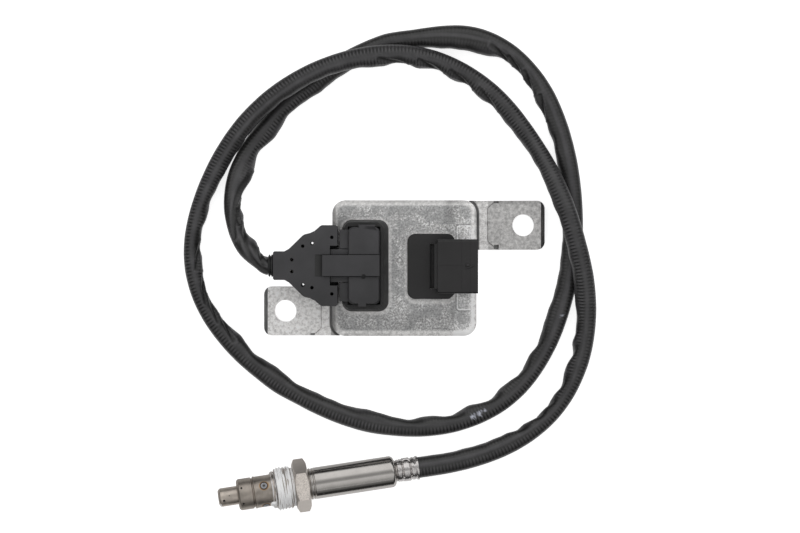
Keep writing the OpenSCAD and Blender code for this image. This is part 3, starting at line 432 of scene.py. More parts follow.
CHAMPAGNE = (0.53, 0.475, 0.42)
finishes = {
    "cast_aluminium": cast_aluminium(),
    "plate_aluminium": simple("plate_aluminium", grey(0.52), 0.95, 0.38, 0.7, 0.02, 0.1),
    "dark_sealant": simple("dark_sealant", grey(0.03), 0.0, 0.5, 0.6, 0.05),
    "zinc_steel": simple("zinc_steel", grey(0.5), 1.0, 0.32, 0.4, 0.01),
    "board_green": board_green(),
    "chip_black": simple("chip_black", grey(0.022), 0.0, 0.5, 0.3, 0.01),
    "header_plastic": plastic("header_plastic", grey(0.0185), 0.5, 0.35),
    "connector_plastic": plastic("connector_plastic", (0.0135, 0.0127, 0.0133), 0.42, 0.5, 0.02, 0.03),
    "plug_plastic": plastic("plug_plastic", (0.036, 0.0352, 0.0378), 0.5, 0.35, painted_light_plus_y=True),
    "cover_plastic": plastic("cover_plastic", (0.0365, 0.0358, 0.0384), 0.5, 0.35, painted_light_plus_y=True),
    "red_silicone": simple("red_silicone", (0.3, 0.06, 0.035), 0.0, 0.45, 0.8, 0.02),
    "gold_contact": simple("gold_contact", (0.8, 0.56, 0.25), 1.0, 0.25, 0.4, 0.005, 0.06),
    "tin_contact": simple("tin_contact", grey(0.62), 1.0, 0.3, 0.4, 0.005, 0.08),
    "wire_jacket": simple("wire_jacket", (0.75, 0.72, 0.64), 0.0, 0.4, 0.6, 0.01, 0.08),
    "collar_rubber": simple("collar_rubber", grey(0.016), 0.0, 0.5, 0.5, 0.03),
    "cable_jacket": jacket(),
    "bright_steel": turned_steel("bright_steel", (0.56, 0.54, 0.53), 0.2, 0.5, 0.002, 0.08),
    "polished_steel": turned_steel("polished_steel", (0.46, 0.44, 0.42), 0.16, 0.35, 0.0008, 0.05),
    "satin_steel": turned_steel("satin_steel", (0.44, 0.4, 0.37), 0.3, 0.5, 0.002),
    "screw_steel": turned_steel("screw_steel", (0.46, 0.42, 0.39), 0.34, 0.5, 0.002),
    "tube_steel": heat_steel("tube_steel", CHAMPAGNE, 0.4),
    "white_ceramic": simple("white_ceramic", (0.82, 0.81, 0.77), 0.0, 0.45, 0.5, 0.01, 0.05),
    "grey_talc": simple("grey_talc", grey(0.55), 0.0, 0.8, 0.5, 0.04),
}
paste_finish = white_paste()
# Painted light on the union screw's hexagon: a paler copy of the steel for the flat facing up, a darker copy
# for its other faces
painted_lit_hex_finish = simple("hex_painted_lit_face", (0.84, 0.77, 0.71), 0.95, 0.3, 0.22, 0.05, 0.2)
painted_shaded_hex_finish = simple("hex_painted_shaded_sides", (0.56, 0.515, 0.475), 0.95, 0.34, 0.5, 0.006, 0.05)
outer_finish = heat_steel("outer_tube_steel", tuple(0.74 * c for c in CHAMPAGNE), 0.4)
slot_of = {row["node"]: row["material_slot"] for row in frame["record"]["subparts"]}

for node, obj in frame["nodes"].items():
    for place in obj.material_slots:
        place.link = "OBJECT"
        place.material = finishes[slot_of[node]].material


# Mesh helpers
def new_object(name, mesh, slot_name, body, finish=None, smooth=35):
    obj = bpy.data.objects.new(name, mesh)
    scene.collection.objects.link(obj)
    mesh.materials.clear()
    mesh.materials.append((finish or finishes[slot_name]).material)
    mesh.shade_smooth()
    if smooth < 180:
        mesh.set_sharp_from_angle(angle=math.radians(smooth))
    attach(obj, body)
    return obj


def from_pydata(name, points, faces):
    mesh = bpy.data.meshes.new(name)
    mesh.from_pydata([tuple(p) for p in points], [], faces)
    mesh.validate()
    return mesh


def settle(obj):
    """Turns an object's modifiers into its mesh."""
    bpy.context.view_layer.update()
    graph = bpy.context.evaluated_depsgraph_get()
    made = bpy.data.meshes.new_from_object(obj.evaluated_get(graph))
    obj.modifiers.clear()
    obj.data = made
    return obj


def mesh_of(bm, name):
    mesh = bpy.data.meshes.new(name)
    bm.to_mesh(mesh)
    bm.free()
    return mesh


def cut_away(obj, bm):
    """Takes a closed mesh away from an object."""
    cutter = bpy.data.objects.new("cutter", mesh_of(bm, "cutter"))
    scene.collection.objects.link(cutter)
    cut = obj.modifiers.new("cut", "BOOLEAN")
    cut.operation = "DIFFERENCE"
    cut.solver = "EXACT"
    cut.object = cutter
    settle(obj)
    bpy.data.objects.remove(cutter)


def point_values(mesh, name, values):
    mesh.attributes.new(name, "FLOAT", "POINT").data.foreach_set("value", values)


def softened(node, name, width, corners=()):
    """A copy of a CAD node with its flat faces joined and its edges rounded, upright corners as listed."""
    source = frame["nodes"][node]
    bm = bmesh.new()
    bm.from_mesh(source.data)
    bmesh.ops.remove_doubles(bm, verts=bm.verts, dist=2e-6)
    bmesh.ops.dissolve_limit(bm, angle_limit=math.radians(1.0), verts=bm.verts, edges=bm.edges)
    for x, y, z, radius in corners:
        def at_corner(v):
            return math.hypot(v.co.x / MM - x, v.co.y / MM - y) < 1.0 and v.co.z / MM > z - 40
        chain = [e for e in bm.edges if all(at_corner(v) for v in e.verts)]
        chain = [e for e in chain if abs(e.verts[0].co.z - e.verts[1].co.z) > 0.2 * MM]
        if chain:
            bmesh.ops.bevel(bm, geom=chain, offset=radius * MM, segments=6, profile=0.5, affect="EDGES")
    obj = new_object(name, mesh_of(bm, name), slot_of[node], UNIT, smooth=180)
    bevel = obj.modifiers.new("bevel", "BEVEL")
    bevel.width = width * MM
    bevel.segments = 2
    bevel.limit_method = "ANGLE"
    bevel.angle_limit = math.radians(30)
    bevel.use_clamp_overlap = True
    weights = obj.modifiers.new("weights", "WEIGHTED_NORMAL")
    weights.keep_sharp = True
    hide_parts(node)
    return obj


def rounded(points, radius, steps=3):
    """A polyline with its corners cut by short curves. A point may carry its own radius."""
    out = [Vector(points[0][:2])]
    for a, b, c in zip(points, points[1:], points[2:]):
        own = b[2] if len(b) > 2 else radius
        a, b, c = Vector(a[:2]), Vector(b[:2]), Vector(c[:2])
        cut = min(own, 0.45 * (b - a).length, 0.45 * (c - b).length)
        if cut < 1e-4:
            out.append(b)
            continue
        start = b + (a - b).normalized() * cut
        end = b + (c - b).normalized() * cut
        for i in range(steps + 1):
            t = i / steps
            out.append(start * (1 - t) ** 2 + b * 2 * t * (1 - t) + end * t * t)
    out.append(Vector(points[-1][:2]))
    return out


def lathe(name, profile, slot_name, body=UNIT, segments=96, matrix=None, finish=None, smooth=40, shape=None):
    """A solid of revolution about +X, from (station, radius) points. shape(u, r, angle) may move a point."""
    rings = []
    points = []
    faces = []
    for u, r in profile:
        if r < 1e-6:
            rings.append([len(points)])
            points.append((u, 0.0, 0.0))
            continue
        ring = []
        for i in range(segments):
            a = 2 * math.pi * i / segments
            radius = r if shape is None else shape(u, r, a)
            ring.append(len(points))
            points.append((u, radius * math.sin(a), radius * math.cos(a)))
        rings.append(ring)
    for low, high in zip(rings, rings[1:]):
        for i in range(segments):
            j = (i + 1) % segments
            if len(low) == 1 and len(high) == 1:
                continue
            if len(low) == 1:
                faces.append((low[0], high[j], high[i]))
            elif len(high) == 1:
                faces.append((low[i], low[j], high[0]))
            else:
                faces.append((low[i], low[j], high[j], high[i]))
    mesh = from_pydata(name, points, faces)
    mesh.transform((matrix or probe_matrix) @ Matrix.Scale(MM, 4))
    bm = bmesh.new()
    bm.from_mesh(mesh)
    bmesh.ops.recalc_face_normals(bm, faces=bm.faces)
    bm.to_mesh(mesh)
    bm.free()
    return new_object(name, mesh, slot_name, body, finish, smooth)


def box_mesh(bm, low, high, bevel=0.0, segments=2):
    made = bmesh.ops.create_cube(bm, size=1.0)["verts"]
    low, high = Vector(low) * MM, Vector(high) * MM
    for v in made:
        v.co = Vector(
            tuple(low[i] + (v.co[i] + 0.5) * (high[i] - low[i]) for i in range(3))
        )
    if bevel:
        edges = list({e for v in made for e in v.link_edges})
        bmesh.ops.bevel(
            bm, geom=edges, offset=bevel * MM, segments=segments, profile=0.6, affect="EDGES",
            clamp_overlap=True,
        )


# The free cable, from the cover's collar to the probe's ferrule
ROUTE = [
    (-63.8, 1.15, 24.6), (-67.5, 2.8, 24.4), (-71.5, 6.5, 22.6), (-76, 12.5, 18.8), (-79.5, 20, 14.4),
    (-81.5, 30, 9.6), (-80.5, 42, 6), (-75, 54.5, 4.6), (-64.5, 68, 4.6), (-49.5, 83.5, 4.6),
    (-29, 97.5, 4.6), (-7.5, 107, 4.6), (15, 111, 4.6), (37.5, 108.5, 4.6), (55, 98.5, 4.6),
    (67.5, 80.5, 4.6), (75.5, 58.5, 4.6), (79.5, 32.5, 4.6), (79, 6.5, 4.6), (73.5, -19, 4.6),
    (63.5, -43, 4.6), (48.5, -61, 4.6), (29, -71.5, 4.6), (6, -75.5, 4.6), (-19, -72.5, 4.6),
    (-43.5, -63.5, 4.6), (-66, -49.5, 4.6), (-85, -32, 4.6), (-97.5, -12, 4.6), (-101, 9, 4.6),
    (-97, 30, 4.6), (-88, 50.5, 6.4), (-74, 70, 10.6), (-56.5, 85, 14), (-37, 95.5, 14.6),
    (-15.5, 100.5, 14.2), (5.5, 100, 11), (26, 93.5, 6), (44.5, 80.5, 4.6), (59.5, 61.5, 5.4),
    (68.5, 46, 10), (75.5, 29.5, 14.4), (80.5, 13.5, 14.4), (84.5, -3, 11.2), (86, -24, 6),
    (82, -46.5, 4.6), (71, -67.5, 4.6), (56.5, -79.5, 4.6), (37, -88.5, 4.6), (20, -92.8, 4.8),
    PROBE_END,
]
CORD_D = 9.0
CORD_SIDES = 36
RIB_PITCH = 1.62
RIB_ROWS = 4
CORD_STEP = RIB_PITCH / RIB_ROWS
# Station along the cable and distance from its centreline to the inner and the outer edge, seen from above,
# at each bulge and pinch of the slack skin
INNER_EDGE = [
    (0, 4.4), (6, 3.2), (15, 5.1), (25, 3.2), (34, 4.6), (39, 3.6), (58, 7.4), (71, 4.5), (79, 6.0),
    (93, 4.0), (112, 5.7), (128, 4.7), (150, 4.6), (184, 6.8), (197, 7.2), (216, 4.0), (219, 4.5),
    (224, 3.8), (230, 4.7), (234, 4.1), (241, 5.2), (248, 4.1), (255, 4.8), (262, 4.1), (269, 4.7),
    (321, 4.4), (333, 4.0), (350, 4.7), (362, 3.3), (370, 4.2), (380, 3.2), (392, 4.9), (400, 3.2),
    (413, 5.1), (422, 3.2), (432, 4.8), (443, 3.6), (462, 5.5), (474, 4.3), (481, 4.8), (499, 3.9),
    (511, 5.1), (524, 3.7), (536, 5.1), (550, 3.5), (555, 4.2), (562, 3.2), (571, 3.8), (583, 4.9),
    (590, 3.5), (599, 3.8), (606, 4.7), (612, 4.1), (631, 5.1), (660, 4.6), (700, 4.9), (727, 5.6),
    (738, 3.5), (747, 5.2), (757, 3.2), (766, 5.2), (774, 3.4), (783, 5.6), (791, 4.2), (802, 4.9),
    (824, 3.9), (843, 4.7), (854, 4.3), (896, 5.1), (903, 4.5), (914, 3.9), (919, 4.8), (925, 3.3),
    (933, 4.8), (943, 3.2), (949, 4.3), (955, 3.2), (959, 3.6), (963, 3.2), (969, 4.3), (974, 3.5),
    (981, 4.8), (1000, 4.9), (1024, 5.0),
]
OUTER_EDGE = [
    (0, 4.4), (4, 3.7), (15, 4.7), (33, 4.2), (47, 3.9), (90, 4.5), (150, 4.7), (166, 3.5), (193, 4.9),
    (221, 4.0), (243, 4.8), (350, 5.3), (376, 5.0), (412, 4.9), (446, 4.7), (461, 5.1), (494, 4.7),
    (509, 5.3), (522, 5.0), (571, 3.9), (669, 4.4), (701, 3.9), (745, 5.0), (794, 4.3), (864, 4.8),
    (920, 5.1), (952, 4.2), (982, 4.9), (1000, 4.9), (1024, 5.0),
]

# Where the smooth band, which carries a painted sheen, lies across the cable's width, from its outer edge,
# and how strongly the conduit's ribs
# show on the outer and on the inner flank, by station along the cable
BAND_PLACE = [
    (0, 0.5), (60, 0.6), (110, 0.3), (170, 0.55), (240, 0.45), (300, 0.4), (360, 0.4), (400, 0.5),
    (470, 0.62), (560, 0.6), (600, 0.5), (640, 0.6), (700, 0.64), (760, 0.5), (820, 0.45), (880, 0.45),
    (940, 0.5), (980, 0.62), (1024, 0.62),
]
# A paler stretch along the top, dust and painted sheen, by station along the cable
DUST_AND_SHEEN = [(0, 0), (650, 0.1), (710, 0.55), (860, 0.5), (910, 0.3), (960, 0.1), (1024, 0)]
OUTER_RIBS = [
    (0, 0.1), (40, 0.15), (90, 0.25), (150, 0.15), (230, 0.12), (270, 0.15), (330, 0.3), (370, 0.8),
    (420, 0.8), (520, 0.9), (560, 0.8), (620, 1.0), (700, 1.0), (760, 0.7), (820, 0.8), (850, 0.5),
    (900, 0.5), (960, 0.7), (1024, 0.8),
]
INNER_RIBS = [
    (0, 0.1), (50, 0.3), (80, 0.9), (120, 1.0), (160, 0.3), (220, 0.2), (300, 0.15), (350, 0.5),
    (390, 0.4), (440, 0.15), (530, 0.15), (570, 0.8), (620, 0.6), (680, 0.2), (730, 0.7), (800, 0.9),
    (850, 1.0), (930, 1.0), (970, 0.3), (1024, 0.1),
]

# Long creases in the slack skin, each a run of (station, lean): lean is the turn about the centreline in
# radians, 0 on top, negative towards the inner side of the loop
CREASES = [
    [(26, -1.4), (21, -0.75), (13, -0.1), (5, 0.35), (1, 0.5)],
    [(8, -1.5), (5, -0.7), (2, 0.1)],
    [(58, -1.2), (46, -0.7), (36, -0.3), (27, 0.1), (20, 0.5)],
    [(40, -1.3), (35, -0.6), (30, -0.35), (26, -0.5)],
    [(216, -1.4), (210, -0.8), (203, -0.3)], [(225, -1.4), (219, -0.9), (213, -0.5)],
    [(235, -1.4), (229, -0.9), (224, -0.5)], [(249, -1.4), (243, -0.9), (238, -0.5)],
    [(550, -1.4), (544, -0.8), (537, -0.3)], [(562, -1.4), (556, -0.8), (549, -0.35)],
    [(574, -1.4), (568, -0.75), (560, -0.3)], [(590, -1.4), (584, -0.8), (577, -0.4)],
    [(739, -1.4), (733, -0.9), (726, -0.5)], [(758, -1.4), (752, -0.8), (745, -0.35)],
    [(775, -1.4), (769, -0.8), (762, -0.4)], [(792, -1.4), (786, -0.9), (779, -0.5)],
]


def crease_gap(at, lean):
    """Distance over the skin from the nearest long crease, in millimetres."""
    gap = np.full(np.broadcast(at, lean).shape, 99.0)
    for run in CREASES:
        for (s0, a0), (s1, a1) in zip(run, run[1:]):
            ds, da = s1 - s0, (a1 - a0) * CORD_D / 2
            du, dv = at - s0, (lean - a0) * CORD_D / 2
            t = np.clip((du * ds + dv * da) / (ds * ds + da * da), 0, 1)
            gap = np.minimum(gap, np.hypot(du - t * ds, dv - t * da))
    return gap


def spline(points, start, end, step):
    """A smooth curve through the points with given end directions, cut at even steps."""
    p = np.array(points, float)
    h = np.linalg.norm(np.diff(p, axis=0), axis=1)
    t = np.concatenate([[0], np.cumsum(h)])
    n = len(p)
    a = np.zeros((n, n))
    b = np.zeros((n, 3))
    a[0, 0], a[-1, -1] = 1, 1
    b[0], b[-1] = start, end
    for i in range(1, n - 1):
        a[i, i - 1], a[i, i], a[i, i + 1] = 1 / h[i - 1], 2 / h[i - 1] + 2 / h[i], 1 / h[i]
        b[i] = 3 * ((p[i] - p[i - 1]) / h[i - 1] ** 2 + (p[i + 1] - p[i]) / h[i] ** 2)
    m = np.linalg.solve(a, b)
    fine = []
    for i in range(n - 1):
        w = np.linspace(0, 1, 60, endpoint=False)[:, None]
        fine.append(
            (2 * w**3 - 3 * w**2 + 1) * p[i]
            + (w**3 - 2 * w**2 + w) * h[i] * m[i]
            + (3 * w**2 - 2 * w**3) * p[i + 1]
            + (w**3 - w**2) * h[i] * m[i + 1]
        )
    fine = np.vstack(fine + [p[-1:]])
    run = np.concatenate([[0], np.cumsum(np.linalg.norm(np.diff(fine, axis=0), axis=1))])
    count = int(round(run[-1] / step))
    marks = np.linspace(0, run[-1], count + 1)
    return np.column_stack([np.interp(marks, run, fine[:, k]) for k in range(3)]), marks


def eased(at, table):
    """The table's second column at given stations, with level ground at each of its entries."""
    stations = np.array([row[0] for row in table], float)
    values = np.array([row[1] for row in table], float)
    low = np.clip(np.searchsorted(stations, at, "right") - 1, 0, len(stations) - 2)
    t = np.clip((at - stations[low]) / (stations[low + 1] - stations[low]), 0, 1)
    t = t * t * (3 - 2 * t)
    return values[low] * (1 - t) + values[low + 1] * t


def cable():
    line, s = spline(ROUTE, (-1, 0, 0), -np.array(probe_axis), CORD_STEP)
    tangent = np.gradient(line, axis=0)
    tangent /= np.linalg.norm(tangent, axis=1)[:, None]
    # side points to the left of travel, the outer side of the clockwise loop
    side = np.cross(np.array([0, 0, 1.0]), tangent)
    side /= np.linalg.norm(side, axis=1)[:, None]
    up = np.cross(tangent, side)
    angle = 2 * np.pi * np.arange(CORD_SIDES) / CORD_SIDES
    across, tall = np.cos(angle)[None, :], np.sin(angle)[None, :]
    at = s[:, None]
    # Pinches start at the inner edge and slant forward on their way over the top
    slant = at + 4.5 * np.clip(tall, -1, 1) + 1.5 * np.sin(at / 29.0)
    inner = eased(slant, INNER_EDGE) - CORD_D / 2
    outer = eased(at + 0 * tall, OUTER_EDGE) - CORD_D / 2
    radius = CORD_D / 2 + np.zeros((len(s), CORD_SIDES))
    radius += inner * np.clip(-across, 0, 1) ** 1.1 + outer * np.clip(across, 0, 1) ** 1.3
    # Painted shade where the inner edge pinches in, kept as the fold value
    fold = np.clip((4.35 - eased(slant - 0.8, INNER_EDGE)) / 0.8, 0, 1) * np.clip(-across * 1.7 + 0.1, 0, 1)
    fold = fold * np.clip(tall + 0.35, 0, 1)
    # Corrugated conduit under the skin: felt on one flank or both, smoothed over on a drifting band; the
    # flank value also sets the painted shade in the rib grooves
    drift = np.arcsin(1 - 2 * eased(at, BAND_PLACE))
    lean = np.arctan2(across, tall)
    rel = lean - drift
    outer_row = np.abs((lean - np.maximum(drift + 0.62, 0.42)) / 0.4)
    inner_row = np.abs((lean - np.minimum(drift - 0.62, -0.5)) / 0.36)
    flank = 0.05 + eased(at, OUTER_RIBS) * np.exp(-(outer_row**3))
    flank = flank + eased(at, INNER_RIBS) * np.exp(-(inner_row**3))
    flank *= 1 - 0.85 * np.exp(-((rel / 0.22) ** 2)) * (0.6 + 0.4 * np.sin(at / 47.0))
    flank *= np.clip((at - 14) / 12, 0, 1) * (0.9 + 0.15 * np.sin(at / 9.0) * np.sin(at / 31.0))
    flank *= 1 - 0.6 * fold
    # Painted sheen on the smooth band, and a painted reflection of the pale floor along both edges
    band_width = 0.25 + 0.06 * np.sin(at / 41.0)
    band = np.exp(-((np.abs(rel) / band_width) ** 3)) * (0.8 + 0.2 * np.sin(at / 58.0 + 3.0))
    band = np.maximum(band, 1.0 * np.clip((lean - 0.88) / 0.25, 0, 1))
    band = np.maximum(band, 0.9 * np.clip((-lean - 0.95) / 0.25, 0, 1) * (1 - fold))
    # A paler stretch along the top, dust and painted sheen, and a painted highlight on the skin on the way
    # down to each pinch
    band = np.maximum(band, eased(at + 0 * tall, DUST_AND_SHEEN))
    painted_pinch_light = np.clip((eased(slant - 2.5, INNER_EDGE) - eased(slant + 1.5, INNER_EDGE)) * 0.7, 0, 1)
    band = np.maximum(band, 1.3 * painted_pinch_light * np.clip((-lean - 0.62) / 0.3, 0, 1) * (1 - fold))
    # Long creases: a cut with painted shade and a raised lip with a painted highlight on both sides
    crease = crease_gap(at, lean)
    cut = np.exp(-((crease / 0.75) ** 2))
    lip = np.exp(-(((crease - 1.7) / 0.7) ** 2))
    radius += 0.3 * lip - 0.55 * cut
    fold = np.maximum(fold, 0.9 * cut)
    flank = flank * (1 - 0.8 * cut)
    band = np.maximum(band, 0.9 * lip) * (1 - cut)
    ribs = (np.arange(len(s)) / RIB_ROWS)[:, None]
    radius += 0.13 * flank * np.sin(2 * np.pi * ribs)
    # Slack skin: long slanted folds on the inner side of the bends
    ends = np.clip(np.minimum(at / 12, (s[-1] - at) / 30), 0.15, 1)
    for length, turns, depth, phase in ((23, 1, 0.1, 0.3), (13.7, -2, 0.1, 1.9), (8.3, 2, 0.07, 4.0)):
        wave = np.sin(
            2 * np.pi * at / length + turns * angle[None, :] + phase + 1.7 * np.sin(at / 37 + phase)
        )
        radius += ends * depth * wave * (0.1 + 0.9 * np.clip(-across, 0, 1))
    flat = np.clip(-tall, 0, 1) * 0.25
    radius = np.clip(radius - flat * 0.2, 3.22, 7.4)
    points = (
        line[:, None, :]
        + side[:, None, :] * (radius * across)[:, :, None]
        + up[:, None, :] * (radius * tall)[:, :, None]
    )
    points[:, :, 2] = np.maximum(points[:, :, 2], 0.05)
    rows = len(s)
    flat_points = list(points.reshape(-1, 3)) + [line[0], line[-1]]
    faces = []
    for i in range(rows - 1):
        for j in range(CORD_SIDES):
            k = (j + 1) % CORD_SIDES
            a = i * CORD_SIDES
            b = a + CORD_SIDES
            faces.append((a + j, a + k, b + k, b + j))
    first, last = rows * CORD_SIDES, rows * CORD_SIDES + 1
    tail = (rows - 1) * CORD_SIDES
    for j in range(CORD_SIDES):
        k = (j + 1) % CORD_SIDES
        faces.append((first, k, j))
        faces.append((last, tail + j, tail + k))
    mesh = from_pydata("cable_jacket", [p * MM for p in flat_points], faces)
    obj = new_object("cable_jacket", mesh, "cable_jacket", UNIT, smooth=60)
    scuffs = [
        ((32.6, -70.4, 8.8), 1.3), ((35.6, -68.8, 9.0), 1.2), ((38.0, -67.6, 8.8), 0.7),
        ((75.2, -22.7, 9.0), 0.8), ((75.8, -25.4, 9.0), 0.7), ((70.2, -37.4, 9.0), 0.8),
    ]
    values = np.zeros(len(mesh.vertices))
    for i, vertex in enumerate(mesh.vertices):
        for place, size in scuffs:
            gap = (vertex.co / MM - Vector(place)).length
            if gap < size * 3:
                ragged = noise.noise(vertex.co / MM * 1.6)
                values[i] = max(values[i], min(1.0, max(0.0, 1.1 - gap / size + 1.2 * ragged)))
    point_values(mesh, "scuff", values)
    fields = {"flank": np.clip(flank, 0, 1), "band": np.clip(band, 0, 1.3), "fold": fold}
    fields["rib_count"] = ribs + np.zeros_like(radius)
    for name, field in fields.items():
        point_values(mesh, name, np.concatenate([field.ravel(), [0, 0]]))
    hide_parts("cable_sleeve")
    return obj


cable()

# Cast and moulded pieces: the CAD solids with rounded edges. Upright corners with a larger radius are
# listed as x, y, lowest height and radius
PLUG_Y = 1.15
BLOCK_X1 = -11.6
BLOCK_Z = 31.0
BLOCK_X0, BLOCK_Y0, BLOCK_Y1 = BLOCK_X1 - 14.7, PLUG_Y - 18.0, PLUG_Y + 18.0
CORNERS = {
    "plug_body": [(x, y, 20.0, 2.2) for x in (BLOCK_X0, BLOCK_X1) for y in (BLOCK_Y0, BLOCK_Y1)],
}
for node, name, width in (
    ("housing", "cast_housing", 0.35),
    ("base_plate", "pressed_plate", 0.2),
    ("sensor_header", "moulded_header", 0.45),
    ("vehicle_header", "moulded_connector", 0.25),
    ("plug_body", "moulded_plug", 0.25),
    ("plug_lock", "latch_strap", 0.22),
    ("wire_cover_top", "cover_shell_top", 0.4),
    ("wire_cover_base", "cover_shell_base", 0.3),
):
    softened(node, name, width, corners=CORNERS.get(node, ()))

# The finger ramp in front of the strap is smoother and darker: the darker plastic is painted shade on its
# slope
shell = bpy.data.objects["cover_shell_top"]
shell.data.materials.append(finishes["header_plastic"].material)
ceiling = max(v.co.z for v in shell.data.vertices)
for face in shell.data.polygons:
    spot = face.center / MM
    on_ramp = -42.3 < spot.x < -38.0 and abs(spot.y - 0.8) < 5.6
    if on_ramp and 0.02 < ceiling / MM - spot.z < 2.5 and face.normal.z > 0.2:
        face.material_index = 1


def creases(obj, lines):
    """Cuts fine grooves along polylines, given as (points in millimetres, groove radius)."""
    bm = bmesh.new()
    for points, size in lines:
        points = [Vector(p) for p in points]
        rings = []
        for i, p in enumerate(points):
            ahead = points[min(i + 1, len(points) - 1)] - points[max(i - 1, 0)]
            side = Vector((0, 0, 1)).cross(ahead).normalized()
            ring = []
            for k in range(8):
                a = 2 * math.pi * k / 8
                spot = p + side * size * math.cos(a) + Vector((0, 0, size * math.sin(a)))
                ring.append(bm.verts.new(spot * MM))
            rings.append(ring)
        for low, high in zip(rings, rings[1:]):
            for k in range(8):
                bm.faces.new((low[k], low[(k + 1) % 8], high[(k + 1) % 8], high[k]))
        bm.faces.new(rings[0][::-1])
        bm.faces.new(rings[-1])
    bmesh.ops.recalc_face_normals(bm, faces=bm.faces)
    cut_away(obj, bm)


def carved(obj, boxes, rounds=()):
    """Cuts boxes, given by two opposite corners, and upright round pits (x, y, top, radius, depth)."""
    bm = bmesh.new()
    for low, high in boxes:
        box_mesh(bm, low, high)
    for x, y, top, radius, depth in rounds:
        place = Matrix.Translation(Vector((x, y, top - depth / 2 + 0.5)) * MM)
        bmesh.ops.create_cone(
            bm, cap_ends=True, segments=24, radius1=radius * MM, radius2=radius * MM, depth=(depth + 1) * MM,
            matrix=place,
        )
    cut_away(obj, bm)
    weights = obj.modifiers.new("weights", "WEIGHTED_NORMAL")
    weights.keep_sharp = True


def turned_over(points):
    return [(-x, -y, z) for x, y, z in points]


EAR_TOP, PAD_X, EAR_Y0, EAR_Y1 = 6.5, 39.7, 8.7, 32.0
PAD_LINE = [
    (x, y, EAR_TOP - 0.45)
    for x, y in ((PAD_X + 3.2, EAR_Y0 + 1.2), (PAD_X + 1.6, EAR_Y0 + 2.6), (PAD_X + 0.4, EAR_Y0 + 3.7),
        (PAD_X, EAR_Y0 + 4.6), (PAD_X, EAR_Y1 - 4.0), (PAD_X + 0.4, EAR_Y1 - 3.1),
        (PAD_X + 3.2, EAR_Y1 - 0.8))
]


def on_top(px, py, z):
    """The point at height z that the camera sees at a pixel of the 800 x 533 image."""
    scale = (CAMERA_Z - z) / FOCAL_PX
    return ((px - 400) * scale + CAMERA_X, (266.5 - py) * scale + CAMERA_Y)


CAMERA_X, CAMERA_Y, CAMERA_Z = -2.09, 0.74, 1383.5
FOCAL_PX = 2900.0
MARK_Z = 17.013


def upright(x, y, z):
    """A matrix that turns a lathe's axis to +Z and puts its start at a point in millimetres."""
    return Matrix.Translation(Vector((x, y, z)) * MM) @ Matrix.Rotation(-math.pi / 2, 4, "Y")


def circle(px, py, radius, z):
    cx, cy = on_top(px, py, z)
    turns = [math.radians(4 + 352 * i / 36) for i in range(37)]
    return [(cx + radius * math.cos(a), cy + radius * math.sin(a), z) for a in turns]


def traced(pixels, z):
    return [(*on_top(px, py, z), z) for px, py in pixels]


# Marks of the casting tool on the top: part of a pad beside the connector, an ejector pin and a centre dimple
creases(bpy.data.objects["cast_housing"], [
    (PAD_LINE, 0.32),
    (turned_over(PAD_LINE), 0.32),
    (circle(463.2, 318.0, 3.25, MARK_Z), 0.2),
    (circle(399.8, 260.4, 0.85, MARK_Z), 0.34),
])


# Shut lines along the latch strap and a finger notch under its edge
STRAP_Y0, STRAP_Y1 = PLUG_Y - 4.95, PLUG_Y + 4.95
carved(
    bpy.data.objects["moulded_plug"],
    [((BLOCK_X0 + 0.6, STRAP_Y1 - 0.02, BLOCK_Z - 1.3), (BLOCK_X1 - 0.3, STRAP_Y1 + 0.32, BLOCK_Z + 1)),
        ((BLOCK_X0 + 0.6, STRAP_Y0 - 0.32, BLOCK_Z - 1.3), (BLOCK_X1 - 0.3, STRAP_Y0 + 0.02, BLOCK_Z + 1))],
)
carved(bpy.data.objects["moulded_plug"], [], [(-19.2, STRAP_Y0 - 0.35, BLOCK_Z, 1.0, 1.5)])

# A small arrow head sunk into the shroud of the vehicle connector
shroud_top = max(v.co.z for v in bpy.data.objects["moulded_connector"].data.vertices) / MM
creases(bpy.data.objects["moulded_connector"], [
    (traced([(466.2, 267.2), (466.2, 263.2), (471.6, 264.9), (466.9, 267.0)], shroud_top - 0.02), 0.24),
])


def connector_lines():
    """Thin mould lines on the shroud of the vehicle connector."""
    top = 33.0
    bm = bmesh.new()
    for px in (461.7, 470.6):
        x = on_top(px, 0, top)[0]
        box_mesh(bm, (x - 0.11, -11.4, top - 0.2), (x + 0.11, 13.0, top + 0.06), 0.04, 1)
    y = on_top(0, 265.3, top)[1]
    box_mesh(bm, (16.0, y - 0.1, top - 0.2), (27.6, y + 0.1, top + 0.05), 0.04, 1)
    new_object("mould_lines", mesh_of(bm, "mould_lines"), "connector_plastic", UNIT)
    bm = bmesh.new()
    box_mesh(bm, (13.2, 0.5, 18.5), (13.95, 1.1, 20.0), 0.12, 2)
    new_object("slot_nub", mesh_of(bm, "slot_nub"), "connector_plastic", UNIT)


connector_lines()

# The two through holes of the cover are offset in its base, so that only a part of each is open
for number, (px, py) in enumerate(((312.4, 243.5), (303.3, 284.9))):
    hx, hy = on_top(px, py, 30.0)
    lathe(
        f"hole_lining_{number}",
        [(19.5, 0.5), (19.5, 1.15), (21.0, 1.15), (21.0, 0.5), (19.5, 0.5)],
        "connector_plastic",
        segments=32,
        matrix=upright(hx - 0.28, hy + 0.28, 0),
    )

lathe(
    "cable_collar_ribs",
    rounded([(0, 0), (0, 4.4), (0.3, 5.2), (0.8, 5.2), (1.0, 4.5), (1.3, 4.5), (1.5, 5.2), (2.1, 5.2),
        (2.35, 3.4), (4.0, 3.4), (4.0, 0)], 0.15),
    "collar_rubber",
    matrix=Matrix.Translation(Vector(ROUTE[0]) * MM),
)
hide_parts("cable_collar")

